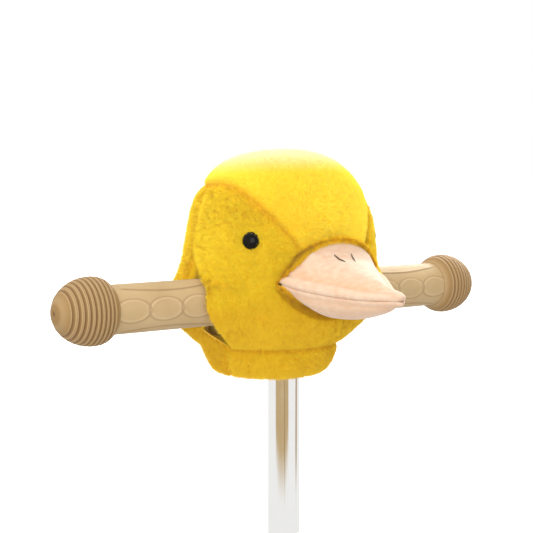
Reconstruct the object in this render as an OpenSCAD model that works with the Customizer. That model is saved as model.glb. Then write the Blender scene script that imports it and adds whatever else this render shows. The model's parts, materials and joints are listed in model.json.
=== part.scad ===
// Moving-mouth duck puppet, a hollow plush head sleeved over a T-bar handle.
// Frame: origin on the stem's axis at its lower end, +Z up the stem, the beak
// points along -Y, and the cross tube lies along X. Millimetres and degrees.

/* [T-bar] */
// Height of the cross tube's axis above the stem's lower end
bar_z = 235; // [200:1:300]
// Outside diameter of the stem and of the cross tube
tube_d = 22.2; // [20:0.1:24]
// Wall thickness of both tubes
tube_wall = 1.5; // [1.2:0.1:2]
// Half the length of the cross tube
bar_half = 152; // [148:1:160]
// Distance of the insertion-mark groove from the stem's lower end
mark_z = 70; // [50:1:90]

/* [Grips] */
// Diameter of the grip's sleeve
grip_d = 31.3; // [30:0.1:33]
// Largest diameter of the ribbed knob
knob_d = 43; // [40:0.5:46]
// Distance of the knob's tip from the stem's axis
knob_tip_x = 175; // [170:1:185]
// Distance of the grip's inner end from the stem's axis
grip_in_x = 60; // [56:1:66]
// Number of grooves round the knob
groove_count = 9; // [6:1:10]
// Depth of each groove
groove_depth = 1.1; // [0.5:0.1:1.5]

/* [Head] */
// Half the width of the head at its widest
head_half_w = 65.5; // [62:0.5:68]
// Height of the crown above the cross tube's axis
head_top = 99.5; // [95:0.5:104]
// How square the crown is, 2 being an ellipse
crown_power = 2.6; // [2.2:0.1:3]
// Depth of the hem below the cross tube's axis
hem_z = -54.5; // [-58:0.5:-52]
// Thickness of the plush skin
skin_t = 4; // [3:0.5:4.5]
// How far the cheek's lip stands out in front of the grip
lip_flare = 30; // [10:1:32]
// How far the back panel swells out behind the grip
back_flare = 15; // [6:1:18]

/* [Beak] */
// How far the beak's tip is in front of the stem's axis
beak_tip = 118.5; // [112:0.5:122]
// Half the width of the mouth at its corners
beak_half_w = 39.5; // [36:0.5:41]
// Thickness of the beak's cover
cover_t = 2; // [1.5:0.1:2.5]

/* [Eyes] */
// Diameter of each eye
eye_d = 10.5; // [9:0.5:12]

/* [Hidden] */

$fn = 64;
tube_r = tube_d / 2;
bore_r = tube_r - tube_wall;
grip_r = grip_d / 2;
knob_r = knob_d / 2;
groove_w = 1.5;

plush_yellow = [0.95, 0.78, 0.16];
beak_peach = [0.98, 0.86, 0.74];
rubber_tan = [0.78, 0.66, 0.45];

// ---- layers of the head's wall, as depths below its outer surface ----
washer_depth = skin_t + 0.3;
washer_t = 1.5;
fill_depth = washer_depth + washer_t + 0.4;
fill_end = 13;
lining_depth = 13.4;
lining_t = 1;
neck_lining_depth = skin_t + 0.4;

// ---- the head's outer surface, measured from the cross tube's axis ----
// Below mid_z a level section has a half width, a centre, and a front and rear
// half depth; above it the crown is a superellipsoid on the section at mid_z.
mid_z = 20;
low_w = [[hem_z, 36.5], [-52, 39], [-46, 42.5], [-36, 45.5], [-32, 46], [-28, 50],
         [-20, 56], [-10, 61.5], [5, head_half_w - 0.5], [mid_z, head_half_w]];
low_c = [[hem_z, 17], [-46, 16], [-32, 14.5], [-20, 11], [-10, 7], [5, 4], [mid_z, 3]];
low_f = [[hem_z, 37], [-46, 43], [-36, 46], [-32, 46], [-28, 48.5], [-20, 54],
         [-10, 58], [5, 61], [mid_z, 61.5]];
low_r = [[hem_z, 37], [-46, 42.5], [-36, 46], [-28, 51], [-20, 56], [-10, 61.5],
         [5, 66], [mid_z, 67]];
top_c = [0, 3, mid_z];
// The wall's layers are offset towards this upright core
core_y = 6;
core_low = -30;
core_high = 30;

function lerp(a, b, t) = a + (b - a) * t;

// Half depth of the section at height z, on the side that y is on
function half_depth(z, y) = y > 0 ? lookup(z, low_r) : lookup(z, low_f);

// The point of the outer surface that a rough point q is nearest to
function on_low(q) =
    let (z = max(q[2], hem_z), c = lookup(z, low_c), dy = q[1] - c,
         k = 1 / norm([q[0] / lookup(z, low_w), dy / half_depth(z, dy)]))
    [q[0] * k, c + dy * k, z];
function on_crown(q) =
    let (d = q - top_c, ring = norm([d[0] / head_half_w, d[1] / half_depth(mid_z, d[1])]),
         rise = d[2] / (head_top - mid_z),
         k = pow(pow(ring, crown_power) + pow(rise, crown_power), -1 / crown_power))
    top_c + d * k;
function flare(p) =
    p[1] < 13.7 ? lip_flare * exp(-pow(p[2] / 17.5, 2) - pow(p[1] / 26, 2))
               : back_flare * exp(-pow((p[2] + 6) / 24, 2) - pow((p[1] - 34) / 16, 2));
function on_head(q) =
    let (p = q[2] > mid_z ? on_crown(q) : on_low(q))
    [p[0] + sign(p[0]) * min(1, abs(p[0]) / 30) * flare(p), p[1], p[2]];

// The point at depth d below an outer point p
function below(p, d) =
    let (core = [0, core_y, min(max(p[2], core_low), core_high)])
    p + (core - p) * (d / norm(core - p));

// ---- patches: four edges are blended into a grid, laid on the head ----
function along(path, t) =
    let (n = len(path) - 1, i = min(floor(t * n), n - 1))
    lerp(path[i], path[i + 1], t * n - i);
function blend(left, right, low, high, s, t) =
    lerp(along(left, t), along(right, t), s) + lerp(along(low, s), along(high, s), t)
    - lerp(lerp(low[0], low[len(low) - 1], s), lerp(high[0], high[len(high) - 1], s), t);
function patch(left, right, low, high, ns, nt) =
    [for (j = [0:nt]) [for (i = [0:ns])
        on_head(blend(left, right, low, high, i / ns, j / nt))]];
function sunk(grid, d) = [for (row = grid) [for (p = row) below(p, d)]];
function flipped(grid) = [for (row = grid) [for (p = row) [-p[0], p[1], p[2]]]];

// A closed solid between two grids of the same size
module between(outer, inner, flip = false) {
    nj = len(outer);
    ni = len(outer[0]);
    function at(side, j, i) = side * nj * ni + j * ni + i;
    function quad(a, b, c, d) = flip ? [[a, c, b], [a, d, c]] : [[a, b, c], [a, c, d]];
    faces = concat(
        [for (j = [0:nj - 2]) for (i = [0:ni - 2])
            for (f = quad(at(0, j, i), at(0, j + 1, i), at(0, j + 1, i + 1), at(0, j, i + 1))) f],
        [for (j = [0:nj - 2]) for (i = [0:ni - 2])
            for (f = quad(at(1, j, i), at(1, j, i + 1), at(1, j + 1, i + 1), at(1, j + 1, i))) f],
        [for (j = [0:nj - 2]) for (e = [[0, 1], [ni - 1, 0]])
            for (f = quad(at(e[1], j, e[0]), at(e[1], j + 1, e[0]),
                          at(1 - e[1], j + 1, e[0]), at(1 - e[1], j, e[0]))) f],
        [for (i = [0:ni - 2]) for (e = [[0, 0], [nj - 1, 1]])
            for (f = quad(at(e[1], e[0], i), at(e[1], e[0], i + 1),
                          at(1 - e[1], e[0], i + 1), at(1 - e[1], e[0], i))) f]);
    polyhedron(points = concat([for (r = outer) each r], [for (r = inner) each r]), faces = faces);
}

// ---- the seams of the right half, in millimetres from the cross tube's axis ----
seam_front = [-26, -52, 34.5];
seam_side = [-50, 13, 77.5];
brow_seam = [seam_side, [-51, 0, 77.5], [-50, -12, 75.5], [-47.7, -25, 69.5], [-43.5, -37, 61],
             [-35, -47, 48], seam_front];
// The edge round the beak's root, from the chin's centre up to the brow seam
root_edge = [[-0.4, -33, -31], [-0.4, -41, -22], [-0.4, -50, -10.5], [-14, -50, -8.8],
             [-26, -49, -3], [-35, -47, 5], [-40.2, -45, 13.5], [-38, -47.5, 20],
             [-33.3, -50.5, 28], seam_front];
slit_front = [[-46, 0, -31], [-54, -9, -20], [-60, -17, -9], [-62, -18.5, 0],
              [-63, -16, 10], [-66, -3, 20], [-65, 13, 32], [-59.5, 13, 58], seam_side];
slit_back = [[-36, 12.4, hem_z], [-42, 8.4, -44], [-46, 5.4, -33], [-54, 12, -20],
             [-60, 19, -9], [-61, 22, 0], [-61.5, 22.5, 11], [-63, 20, 22], [-64.5, 14.6, 33],
             [-59.5, 14.4, 58], [-50, 14.2, 77.5]];
crease = [[-46, 0, -31], [-38, -18, -31], [-21, -29, -31], [-0.4, -33, -31]];
back_seam = [[-50, 14.2, 77.5], [-46.6, 25, 76.8], [-36, 43, 74], [-18, 54, 71.5], [-0.4, 58, 71]];
back_centre = [[-1.6, 54, hem_z], [-1.6, 60, -38], [-1.4, 66, -22], [-0.8, 69, -6],
               [-0.4, 70, 10], [-0.4, 69.5, 28], [-0.4, 68, 46], [-0.4, 58, 71]];
back_hem = [[-36, 12.4, hem_z], [-35, 28, hem_z], [-26, 44, hem_z], [-12, 52, hem_z],
            [-1.6, 54, hem_z]];
crown_front = [[-26, -52, 35.5], [-14, -57, 40.5], [0, -58.5, 42.5], [14, -57, 40.5],
               [26, -52, 35.5]];
crown_side = [[-26, -52, 35.5], [-35, -46.5, 49.2], [-43, -36.5, 62.2], [-47.4, -23.6, 71],
              [-49.6, -10, 77], [-50, 3, 79], [-49, 13.6, 79], [-46, 24.4, 78.4], [-35.4, 42, 75.4]];
crown_back = [[-35.4, 42, 75.4], [-18, 53, 72.8], [0, 57, 72.2], [18, 53, 72.8], [35.4, 42, 75.4]];

function mirrored(path) = [for (p = path) [-p[0], p[1], p[2]]];

cheek_grid = patch(slit_front, root_edge, crease, brow_seam, 10, 16);
back_grid = patch(slit_back, back_centre, back_hem, back_seam, 8, 14);
crown_grid = patch(crown_side, mirrored(crown_side), crown_front, crown_back, 12, 12);
neck_left = [[-36, 11.6, hem_z], [-42, 7.6, -44], [-46, 4.4, -32.5]];
neck_low = [[-36, 11.6, hem_z], [-33, -4, hem_z], [-19, -15, hem_z], [0, -20, hem_z],
            [19, -15, hem_z], [33, -4, hem_z], [36, 11.6, hem_z]];
neck_high = [[-46, 4.4, -32.5], [-39, -17, -32.5], [-22, -28, -32.5], [0, -32, -32.5],
             [22, -28, -32.5], [39, -17, -32.5], [46, 4.4, -32.5]];
neck_grid = patch(neck_left, mirrored(neck_left), neck_low, neck_high, 20, 4);

// One layer of the wall between two depths
module layer(grid, from, to, flip = false)
    between(sunk(grid, from), sunk(grid, to), flip);

// Room for the grip through both slits
grip_gap = 1.6;
module grip_room(extra = 0) {
    rotate([0, 90, 0]) cylinder(r = grip_r + grip_gap + extra, h = 240, center = true);
}

// ---- eyes ----
eye_seat = on_head([-52.5, -33, 41.6]);
eye_turn = 38.5;
eye_tilt = 5.5;
eye_sunk = 1;
shank_r = 2;
module at_eye() {
    translate(eye_seat) rotate([0, 0, -90 - (90 - eye_turn)]) rotate([0, 90 - eye_tilt, 0]) children();
}
module shank_hole() { at_eye() cylinder(r = shank_r + 0.3, h = 40, center = true); }
// Room in the plush for the eye's rim and for the washer behind it
module eye_room() {
    shank_hole();
    at_eye() translate([0, 0, -eye_sunk - 0.05]) cylinder(r = eye_d / 2 + 0.2, h = 8);
    at_eye() translate([0, 0, -washer_depth - 12]) cylinder(r = 6.8, h = 12.05);
}
module on_side(right) { mirror([right ? 0 : 1, 0, 0]) children(); }

module eye(right) {
    dome_h = 3.8;
    dome_r = (pow(eye_d / 2, 2) + dome_h * dome_h) / (2 * dome_h);
    color([0.02, 0.02, 0.02]) on_side(right) at_eye() {
        translate([0, 0, -eye_sunk]) intersection() {
            translate([0, 0, dome_h - dome_r]) sphere(r = dome_r);
            cylinder(r = eye_d / 2 + 1, h = dome_h + 1);
        }
        translate([0, 0, -washer_depth - washer_t - 1.2]) cylinder(r = shank_r, h = washer_depth + washer_t + 1.8);
    }
}
module washer() {
    at_eye() translate([0, 0, -washer_depth - washer_t]) difference() {
        cylinder(r = 6.5, h = washer_t);
        translate([0, 0, -1]) cylinder(r = shank_r + 0.02, h = washer_t + 2);
    }
}

// ---- the T-bar ----
module stem_tube() {
    color("gainsboro") difference() {
        cylinder(r = tube_r, h = bar_z - 2);
        translate([0, 0, -1]) cylinder(r = bore_r, h = bar_z - tube_r);
        translate([0, 0, bar_z]) rotate([0, 90, 0]) cylinder(r = tube_r + 0.02, h = 60, center = true);
        translate([0, 0, mark_z]) difference() {
            cylinder(r = tube_r + 1, h = 1.2);
            translate([0, 0, -1]) cylinder(r = tube_r - 0.35, h = 3.2);
        }
    }
}

module cross_tube() {
    color("gainsboro") translate([0, 0, bar_z]) rotate([0, 90, 0]) difference() {
        cylinder(r = tube_r, h = 2 * bar_half, center = true);
        cylinder(r = bore_r, h = 2 * bar_half + 2, center = true);
    }
}

module weld_bead() {
    bead = 3.2;
    color("silver") difference() {
        translate([0, 0, bar_z - tube_r]) rotate_extrude()
            translate([tube_r, 0]) intersection() {
                circle(r = bead, $fn = 32);
                translate([0.03, -bead]) square([bead, 2 * bead]);
            }
        translate([0, 0, bar_z]) rotate([0, 90, 0]) cylinder(r = tube_r + 0.02, h = 80, center = true);
    }
}

// Radius of the knob at a distance x from the stem's axis
knob_mid_x = 150;
knob_in_x = 138;
function knob_radius(x) =
    x < knob_mid_x ? knob_r * pow(1 - pow((knob_mid_x - x) / 16, 2.4), 1 / 2.4)
                   : knob_r * sqrt(max(0, 1 - pow((x - knob_mid_x) / (knob_tip_x - knob_mid_x), 2)));
groove_first = 144.5;
groove_step = 3.05;
// Ribs are flats between V-shaped grooves
function knob_outline() =
    [for (g = [0:groove_count - 1]) let (x = groove_first + g * groove_step)
        each [[x - groove_w / 2, knob_radius(x - groove_w / 2)],
              [x, knob_radius(x) - groove_depth],
              [x + groove_w / 2, knob_radius(x + groove_w / 2)]]];

module grip() {
    bore_end = bar_half + 0.4;
    rotate([0, 90, 0]) difference() {
        rotate_extrude() mirror([1, -1, 0]) rotate(0) polygon(concat(
            [[grip_in_x, 0], [grip_in_x, grip_r - 1], [grip_in_x + 1, grip_r],
             [knob_in_x, grip_r], [knob_in_x + 1, knob_radius(knob_in_x + 1)]],
            knob_outline(),
            [[knob_tip_x - 1.2, 6.6], [knob_tip_x, 4.4], [knob_tip_x, 0]]));
        cylinder(r = tube_r + 0.04, h = bore_end);
        cylinder(r = 1, h = knob_tip_x + 1);
    }
}

module right_grip() { color(rubber_tan) translate([0, 0, bar_z]) mirror([1, 0, 0]) grip(); }
module left_grip() { color(rubber_tan) translate([0, 0, bar_z]) grip(); }

// ---- plush panels, fillings and lining ----
module at_bar() { translate([0, 0, bar_z]) children(); }

// Room for the beaks to turn in, about the line through the mouth's corners
hinge_s = 48;
module mouth_room() {
    translate([0, -hinge_s, mouth_z(hinge_s)]) rotate([0, 90, 0]) {
        cylinder(r = 17, h = 2 * beak_half_w + 5, center = true);
        cylinder(r = 29.4, h = 62, center = true);
    }
}

module cheek(right, from, to) {
    on_side(right) difference() {
        layer(cheek_grid, from, to);
        grip_room();
        eye_room();
    }
}
module right_cheek_panel() { color(plush_yellow) at_bar() cheek(true, 0, skin_t); }
module left_cheek_panel() { color(plush_yellow) at_bar() cheek(false, 0, skin_t); }

module cheek_filling(right) {
    color("white") at_bar() on_side(right) difference() {
        layer(cheek_grid, fill_depth, fill_end);
        grip_room(2);
        mouth_room();
        shank_hole();
        at_eye() translate([0, 0, -fill_depth - 3]) cylinder(r = 3.5, h = 12, center = true);
    }
}
module right_cheek_filling() { cheek_filling(true); }
module left_cheek_filling() { cheek_filling(false); }

module crown_panel() { color(plush_yellow) at_bar() layer(crown_grid, 0, skin_t); }
module crown_filling() {
    color("white") at_bar() difference() {
        layer(crown_grid, fill_depth, fill_end);
        mouth_room();
    }
}

module back(right, from, to) {
    on_side(right) difference() {
        layer(back_grid, from, to, true);
        grip_room();
    }
}
module right_back_panel() { color(plush_yellow) at_bar() back(true, 0, skin_t); }
module left_back_panel() { color(plush_yellow) at_bar() back(false, 0, skin_t); }

// The fillings stop above the neck, where the wall is only skin and lining
neck_top = -26;
module back_filling(right) {
    color("white") at_bar() on_side(right) difference() {
        layer(back_grid, fill_depth, fill_end, true);
        grip_room(2);
        translate([-90, -30, -90]) cube([180, 130, 90 + neck_top]);
    }
}
module right_back_filling() { back_filling(true); }
module left_back_filling() { back_filling(false); }

module neck_band() { color(plush_yellow) at_bar() layer(neck_grid, 0, skin_t); }

module cheek_lining(right) {
    color("ivory") at_bar() on_side(right) difference() {
        layer(cheek_grid, lining_depth, lining_depth + lining_t);
        grip_room(3);
        mouth_room();
    }
}
module right_cheek_lining() { cheek_lining(true); }
module left_cheek_lining() { cheek_lining(false); }
module back_lining(right) {
    color("ivory") at_bar() on_side(right) difference() {
        layer(back_grid, lining_depth, lining_depth + lining_t, true);
        grip_room(3);
        translate([-90, -30, -90]) cube([180, 130, 90 + neck_top]);
    }
}
module right_back_lining() { back_lining(true); }
module left_back_lining() { back_lining(false); }
module crown_lining() {
    color("ivory") at_bar() difference() {
        layer(crown_grid, lining_depth, lining_depth + lining_t);
        mouth_room();
    }
}
module neck_lining() {
    color("ivory") at_bar() layer(neck_grid, neck_lining_depth, neck_lining_depth + lining_t);
}

module right_eye() { at_bar() eye(true); }
module left_eye() { at_bar() eye(false); }
module right_eye_washer() { color("gray") at_bar() washer(); }
module left_eye_washer() { color("gray") at_bar() on_side(false) washer(); }

// ---- the vent's closure at the back of the neck ----
tab_half = 17;
tab_low = -49;
tab_high = -27;
tab_gap = 2.6;
tab_t = 3;
function neck_strip(x0, x1, z0, z1, n) =
    [for (j = [0:3]) [for (i = [0:n])
        on_low([lerp(x0, x1, i / n), 60, lerp(z0, z1, j / 3)])]];
module back_layer(grid, from, to) { between(sunk(grid, from), sunk(grid, to), true); }
module closure_tab() {
    color(plush_yellow) at_bar()
        back_layer(neck_strip(-tab_half, tab_half, tab_low, tab_high, 10), -tab_gap - tab_t, -tab_gap);
}
module hook_strip() {
    color("khaki") at_bar()
        back_layer(neck_strip(4, 15, tab_low + 1.5, tab_high - 1.5, 4), -tab_gap + 0.4, -tab_gap + 1.1);
}
module loop_strip() {
    color("khaki") at_bar()
        back_layer(neck_strip(4, 15, tab_low + 1.5, tab_high - 1.5, 4), -1.3, -0.6);
}
module care_label() {
    color("white") at_bar()
        back_layer(neck_strip(16, 28, -50, -34, 3), skin_t + 0.8, skin_t + 1.4);
}

// ---- the beaks ----
// Half width, mouth height, and the heights of the top and of the underside, by
// the distance in front of the stem's axis
beak_w = [[44, beak_half_w], [52, beak_half_w], [60, 37], [70, 31.5], [80, 25], [90, 18.5],
          [100, 12.5], [110, 7.2], [116, 4.4], [beak_tip, 3]];
mouth_h = [[44, 14.5], [48, 14], [60, 11.3], [70, 9.2], [85, 7], [100, 6], [beak_tip, 6.4]];
upper_h = [[46, 20], [50, 28], [54, 36.5], [57.5, 40.5], [60, 35.5], [63, 31], [70, 27.5], [80, 23.5],
           [90, 20], [100, 16.5], [110, 13.2], [116, 11.4], [beak_tip, 10]];
lip_h = [[44, 2], [60, 4], [70, 5.2], [80, 5.6], [95, 3.6], [110, 3.6], [beak_tip, 3]];
under_h = [[48, 7], [52, 2.5], [57, -3], [60, -5.4], [67, -9], [79, -8.3], [92, -5.4], [104, -1.6],
           [111, 1.8], [beak_tip, 3.6]];
upper_stations = [47.5, 50, 54, 57.5, 60, 64, 70, 78, 87, 96, 104, 111, 116, beak_tip];
lower_stations = [49.5, 53, 57, 62, 68, 75, 83, 92, 100, 107, 113, beak_tip];
function mouth_z(s) = lookup(s, mouth_h);
half_gap = 0.35;

arch_power = [[46, 1.1], [52, 1.3], [57.5, 1.55], [66, 1.4], [80, 1.15], [beak_tip, 1.1]];
// Height of the upper beak's surface at x, inset by d
function upper_z(s, x, d = 0) =
    let (w = lookup(s, beak_w) - d - 1, lip = mouth_z(s) + lookup(s, lip_h) - d * 0.5,
         top = lookup(s, upper_h) - d)
    lip + (top - lip) * pow(max(0, 1 - pow(x / w, 2)), lookup(s, arch_power) / 2);
// An arch from one edge of the mouth to the other, inset by d, its feet lowered
function upper_arch(s, d = 0, foot = 0, n = 12) =
    let (w = lookup(s, beak_w) - d, floor_z = mouth_z(s) + half_gap,
         mid = (floor_z + upper_z(s, w, d)) / 2)
    concat([[-w + 0.6, -s, floor_z - foot], [-w, -s, mid]],
           [for (i = [0:n]) let (x = (w - 1) * cos(180 - 180 * i / n)) [x, -s, upper_z(s, x, d)]],
           [[w, -s, mid], [w - 0.6, -s, floor_z - foot]]);
function lower_arch(s, d = 0, foot = 0, n = 12) =
    let (w = lookup(s, beak_w) - 0.4 - d, roof = mouth_z(s) - half_gap,
         depth = roof - lookup(s, under_h) - d)
    concat([[-w, -s, roof + foot]],
           [for (i = [1:n - 1]) let (a = 180 - 180 * i / n)
               [w * cos(a), -s, roof - depth * pow(sin(a), 0.9)]],
           [[w, -s, roof + foot]]);

// A closed solid whose sections are rings of points
module lofted(rings, flip = false) {
    n = len(rings[0]);
    m = len(rings);
    function tri(a, b, c) = flip ? [a, c, b] : [a, b, c];
    faces = concat(
        [for (j = [0:m - 2]) for (i = [0:n - 1]) let (k = (i + 1) % n)
            each [tri(j * n + i, (j + 1) * n + i, (j + 1) * n + k),
                  tri(j * n + i, (j + 1) * n + k, j * n + k)]],
        [for (i = [1:n - 2]) tri(0, i, i + 1)],
        [for (i = [1:n - 2]) tri((m - 1) * n, (m - 1) * n + i + 1, (m - 1) * n + i)]);
    polyhedron(points = [for (r = rings) each r], faces = faces);
}

// Widths and heights of the pockets for the fingers and for the thumb
finger_room = [[40, 26, 22], [58, 24, 16], [74, 18, 10], [86, 11, 7]];
thumb_room = [[40, 19, 7.5], [58, 16, 9], [66, 14.5, 10.5], [74, 13, 9], [84, 9, 5.5]];
board_t = 1.6;
palate_t = 0.9;
pocket_base = half_gap + palate_t + 0.2 + board_t + 0.2;
function pocket_ring(r, up, n = 10) =
    let (floor_z = mouth_z(r[0]) + up * (pocket_base - 1))
    [for (i = [0:n]) let (a = 180 - 180 * i / n)
        [r[1] * cos(a), -r[0], floor_z + up * (r[2] + 1) * pow(max(0, sin(a)), 0.7)]];
// The filling's own arch on the pocket's base, under the cover
fill_inset = cover_t + 0.9;
function upper_filling_ring(s, n = 12) =
    let (base = mouth_z(s) + pocket_base, lip = upper_z(s, 60, fill_inset),
         share = max(0, (base + 0.6 - lip) / (upper_z(s, 0, fill_inset) - lip)),
         w = (lookup(s, beak_w) - fill_inset - 1) * sqrt(1 - pow(share, 2 / lookup(s, arch_power))))
    [for (i = [0:n]) let (a = 180 - 180 * i / n)
        [w * cos(a), -s, i == 0 || i == n ? base : upper_z(s, w * cos(a), fill_inset)]];
function lower_filling_ring(s, n = 12) =
    let (w = lookup(s, beak_w) - cover_t - 2.2, base = mouth_z(s) - pocket_base,
         depth = base - lookup(s, under_h) - fill_inset)
    [for (i = [0:n]) let (a = 180 - 180 * i / n)
        [w * cos(a), -s, base - depth * max(0, sin(a))]];

module upper_beak_cover() {
    color(beak_peach) at_bar() difference() {
        lofted([for (s = upper_stations) upper_arch(s)], true);
        lofted([for (s = concat([46.5], upper_stations)) if (s < 114) upper_arch(s, cover_t, 1)], true);
        lofted([for (r = finger_room) pocket_ring(r, 1)], true);
    }
}
module upper_beak_filling() {
    color("white") at_bar() difference() {
        lofted([for (s = upper_stations) if (s > 49 && s < 100) upper_filling_ring(s)], true);
        lofted([for (r = finger_room) pocket_ring(r, 1)], true);
    }
}
module mouth_sheet(low, high, inset, y0, y1) {
    rows = [for (s = [y0 : (y1 - y0) / 8 : y1]) let (w = lookup(s, beak_w) - inset)
        [for (i = [0:4]) [lerp(-w, w, i / 4), -s, mouth_z(s)]]];
    between([for (r = rows) [for (p = r) p + [0, 0, high]]],
            [for (r = rows) [for (p = r) p + [0, 0, low]]], true);
}
module upper_palate() {
    color([0.93, 0.66, 0.55]) at_bar()
        mouth_sheet(half_gap + 0.05, half_gap + palate_t, cover_t + 1.4, hinge_s + 1, 106);
}
module upper_mouth_board() {
    color("burlywood") at_bar()
        mouth_sheet(half_gap + palate_t + 0.2, half_gap + palate_t + 0.2 + board_t, cover_t + 2.4, hinge_s + 1.4, 100);
}
module lower_palate() {
    color([0.93, 0.66, 0.55]) at_bar()
        mouth_sheet(-half_gap - palate_t, -half_gap - 0.05, cover_t + 2, hinge_s + 1, 104);
}
module lower_mouth_board() {
    color("burlywood") at_bar()
        mouth_sheet(-half_gap - palate_t - 0.2 - board_t, -half_gap - palate_t - 0.2, cover_t + 3.4, hinge_s + 1.4, 98);
}

module lower_beak_cover() {
    color(beak_peach) at_bar() difference() {
        lofted([for (s = lower_stations) lower_arch(s)]);
        lofted([for (s = concat([48], lower_stations)) if (s < 108) lower_arch(s, cover_t, 1)]);
        lofted([for (r = thumb_room) pocket_ring(r, -1)]);
    }
}
module lower_beak_filling() {
    color("white") at_bar() difference() {
        lofted([for (s = lower_stations) if (s > 50 && s < 99) lower_filling_ring(s)]);
        lofted([for (r = thumb_room) pocket_ring(r, -1)]);
    }
}

// A strap bridges the pocket from side to side, across the fingers or the thumb
strap_s = 65;
mouth_slope = atan((mouth_z(70) - mouth_z(60)) / 10);
module strap(half_w, h, up) {
    strap_t = 1.2;
    strap_w = 8;
    translate([0, -strap_s, mouth_z(strap_s)]) rotate([-mouth_slope, 0, 0]) mirror([0, 0, up ? 0 : 1])
        translate([0, 0, pocket_base - 0.15]) rotate([90, 0, 0])
            linear_extrude(height = strap_w, center = true) difference() {
                translate([-half_w, 0]) square([2 * half_w, h]);
                translate([-half_w + strap_t, -1]) square([2 * (half_w - strap_t), h + 1 - strap_t]);
                for (side = [-1, 1]) translate([side * half_w, h]) circle(r = 0.8, $fn = 4);
            }
}
module finger_strap() { color("dimgray") at_bar() strap(13, 9, true); }
module thumb_strap() { color("dimgray") at_bar() strap(9, 7.6, false); }

// Each nostril is a row of stitches laid on the beak's top
nostril_ends = [[-7.3, 61.5], [-4, 69.5]];
module nostril(right) {
    color([0.25, 0.2, 0.15]) at_bar() on_side(right)
        hull() for (e = nostril_ends)
            translate([e[0], -e[1], upper_z(e[1], e[0]) + 1.05]) sphere(r = 0.6, $fn = 12);
}
module right_nostril() { nostril(true); }
module left_nostril() { nostril(false); }

stem_tube();
cross_tube();
weld_bead();
right_grip();
left_grip();
crown_panel();
right_cheek_panel();
left_cheek_panel();
right_back_panel();
left_back_panel();
neck_band();
crown_filling();
right_cheek_filling();
left_cheek_filling();
right_back_filling();
left_back_filling();
crown_lining();
right_cheek_lining();
left_cheek_lining();
right_back_lining();
left_back_lining();
neck_lining();
right_eye();
left_eye();
right_eye_washer();
left_eye_washer();
loop_strip();
care_label();
closure_tab();
hook_strip();
upper_beak_cover();
upper_beak_filling();
upper_mouth_board();
upper_palate();
finger_strap();
right_nostril();
left_nostril();
lower_beak_cover();
lower_beak_filling();
lower_mouth_board();
lower_palate();
thumb_strap();
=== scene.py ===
"""Looks of a plush duck head puppet on its T-bar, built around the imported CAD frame.

Everything is in metres in the frame of the CAD: the origin is at the stem's
lower end, +Z runs up the stem and the beak points along -Y.
"""

import json
import logging
import math
from dataclasses import dataclass, field
from enum import Enum
from typing import Callable

import bmesh
import bpy
import numpy as np
from mathutils import Matrix, Vector

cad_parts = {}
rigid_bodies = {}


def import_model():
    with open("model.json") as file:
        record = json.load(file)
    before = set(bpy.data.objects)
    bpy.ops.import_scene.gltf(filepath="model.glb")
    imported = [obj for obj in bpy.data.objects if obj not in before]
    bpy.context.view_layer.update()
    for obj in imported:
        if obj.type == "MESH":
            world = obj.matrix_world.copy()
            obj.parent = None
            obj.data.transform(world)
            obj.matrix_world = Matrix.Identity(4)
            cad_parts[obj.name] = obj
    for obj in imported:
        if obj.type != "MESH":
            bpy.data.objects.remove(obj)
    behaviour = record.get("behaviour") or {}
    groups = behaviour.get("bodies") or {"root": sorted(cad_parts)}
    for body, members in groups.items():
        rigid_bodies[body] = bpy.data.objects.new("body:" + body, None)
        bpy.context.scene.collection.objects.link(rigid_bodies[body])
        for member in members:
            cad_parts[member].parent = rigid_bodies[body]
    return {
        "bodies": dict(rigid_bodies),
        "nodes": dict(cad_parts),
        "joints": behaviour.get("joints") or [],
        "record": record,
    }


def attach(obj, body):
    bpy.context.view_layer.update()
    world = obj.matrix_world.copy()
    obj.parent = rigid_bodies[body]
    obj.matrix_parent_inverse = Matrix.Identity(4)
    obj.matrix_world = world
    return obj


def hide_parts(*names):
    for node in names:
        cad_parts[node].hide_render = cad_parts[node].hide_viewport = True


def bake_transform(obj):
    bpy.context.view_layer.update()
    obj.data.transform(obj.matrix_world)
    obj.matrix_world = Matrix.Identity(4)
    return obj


log = logging.getLogger("puppet")
MM = 0.001
Colour = tuple[float, float, float]
Points = np.ndarray


# ---------------------------------------------------------------- shader tools
class Sock:
    """A shader socket whose maths is written with Python's operators."""

    def __init__(self, shader: "Shader", socket: bpy.types.NodeSocket) -> None:
        """Keep the shader that the socket belongs to, and the socket."""
        self.shader = shader
        self.socket = socket

    def _math(self, kind: str, first: object, second: object = None) -> "Sock":
        """Add one Math node."""
        sockets = {0: first} if second is None else {0: first, 1: second}
        return self.shader.node("ShaderNodeMath", {"operation": kind}, sockets)

    def __add__(self, other: object) -> "Sock":
        """self + other."""
        return self._math("ADD", self, other)

    __radd__ = __add__

    def __sub__(self, other: object) -> "Sock":
        """self - other."""
        return self._math("SUBTRACT", self, other)

    def __rsub__(self, other: object) -> "Sock":
        """other - self."""
        return self._math("SUBTRACT", other, self)

    def __mul__(self, other: object) -> "Sock":
        """self * other."""
        return self._math("MULTIPLY", self, other)

    __rmul__ = __mul__

    def clamped(self) -> "Sock":
        """The value held between 0 and 1."""
        return self.shader.node("ShaderNodeClamp", {}, {0: self})


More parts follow.
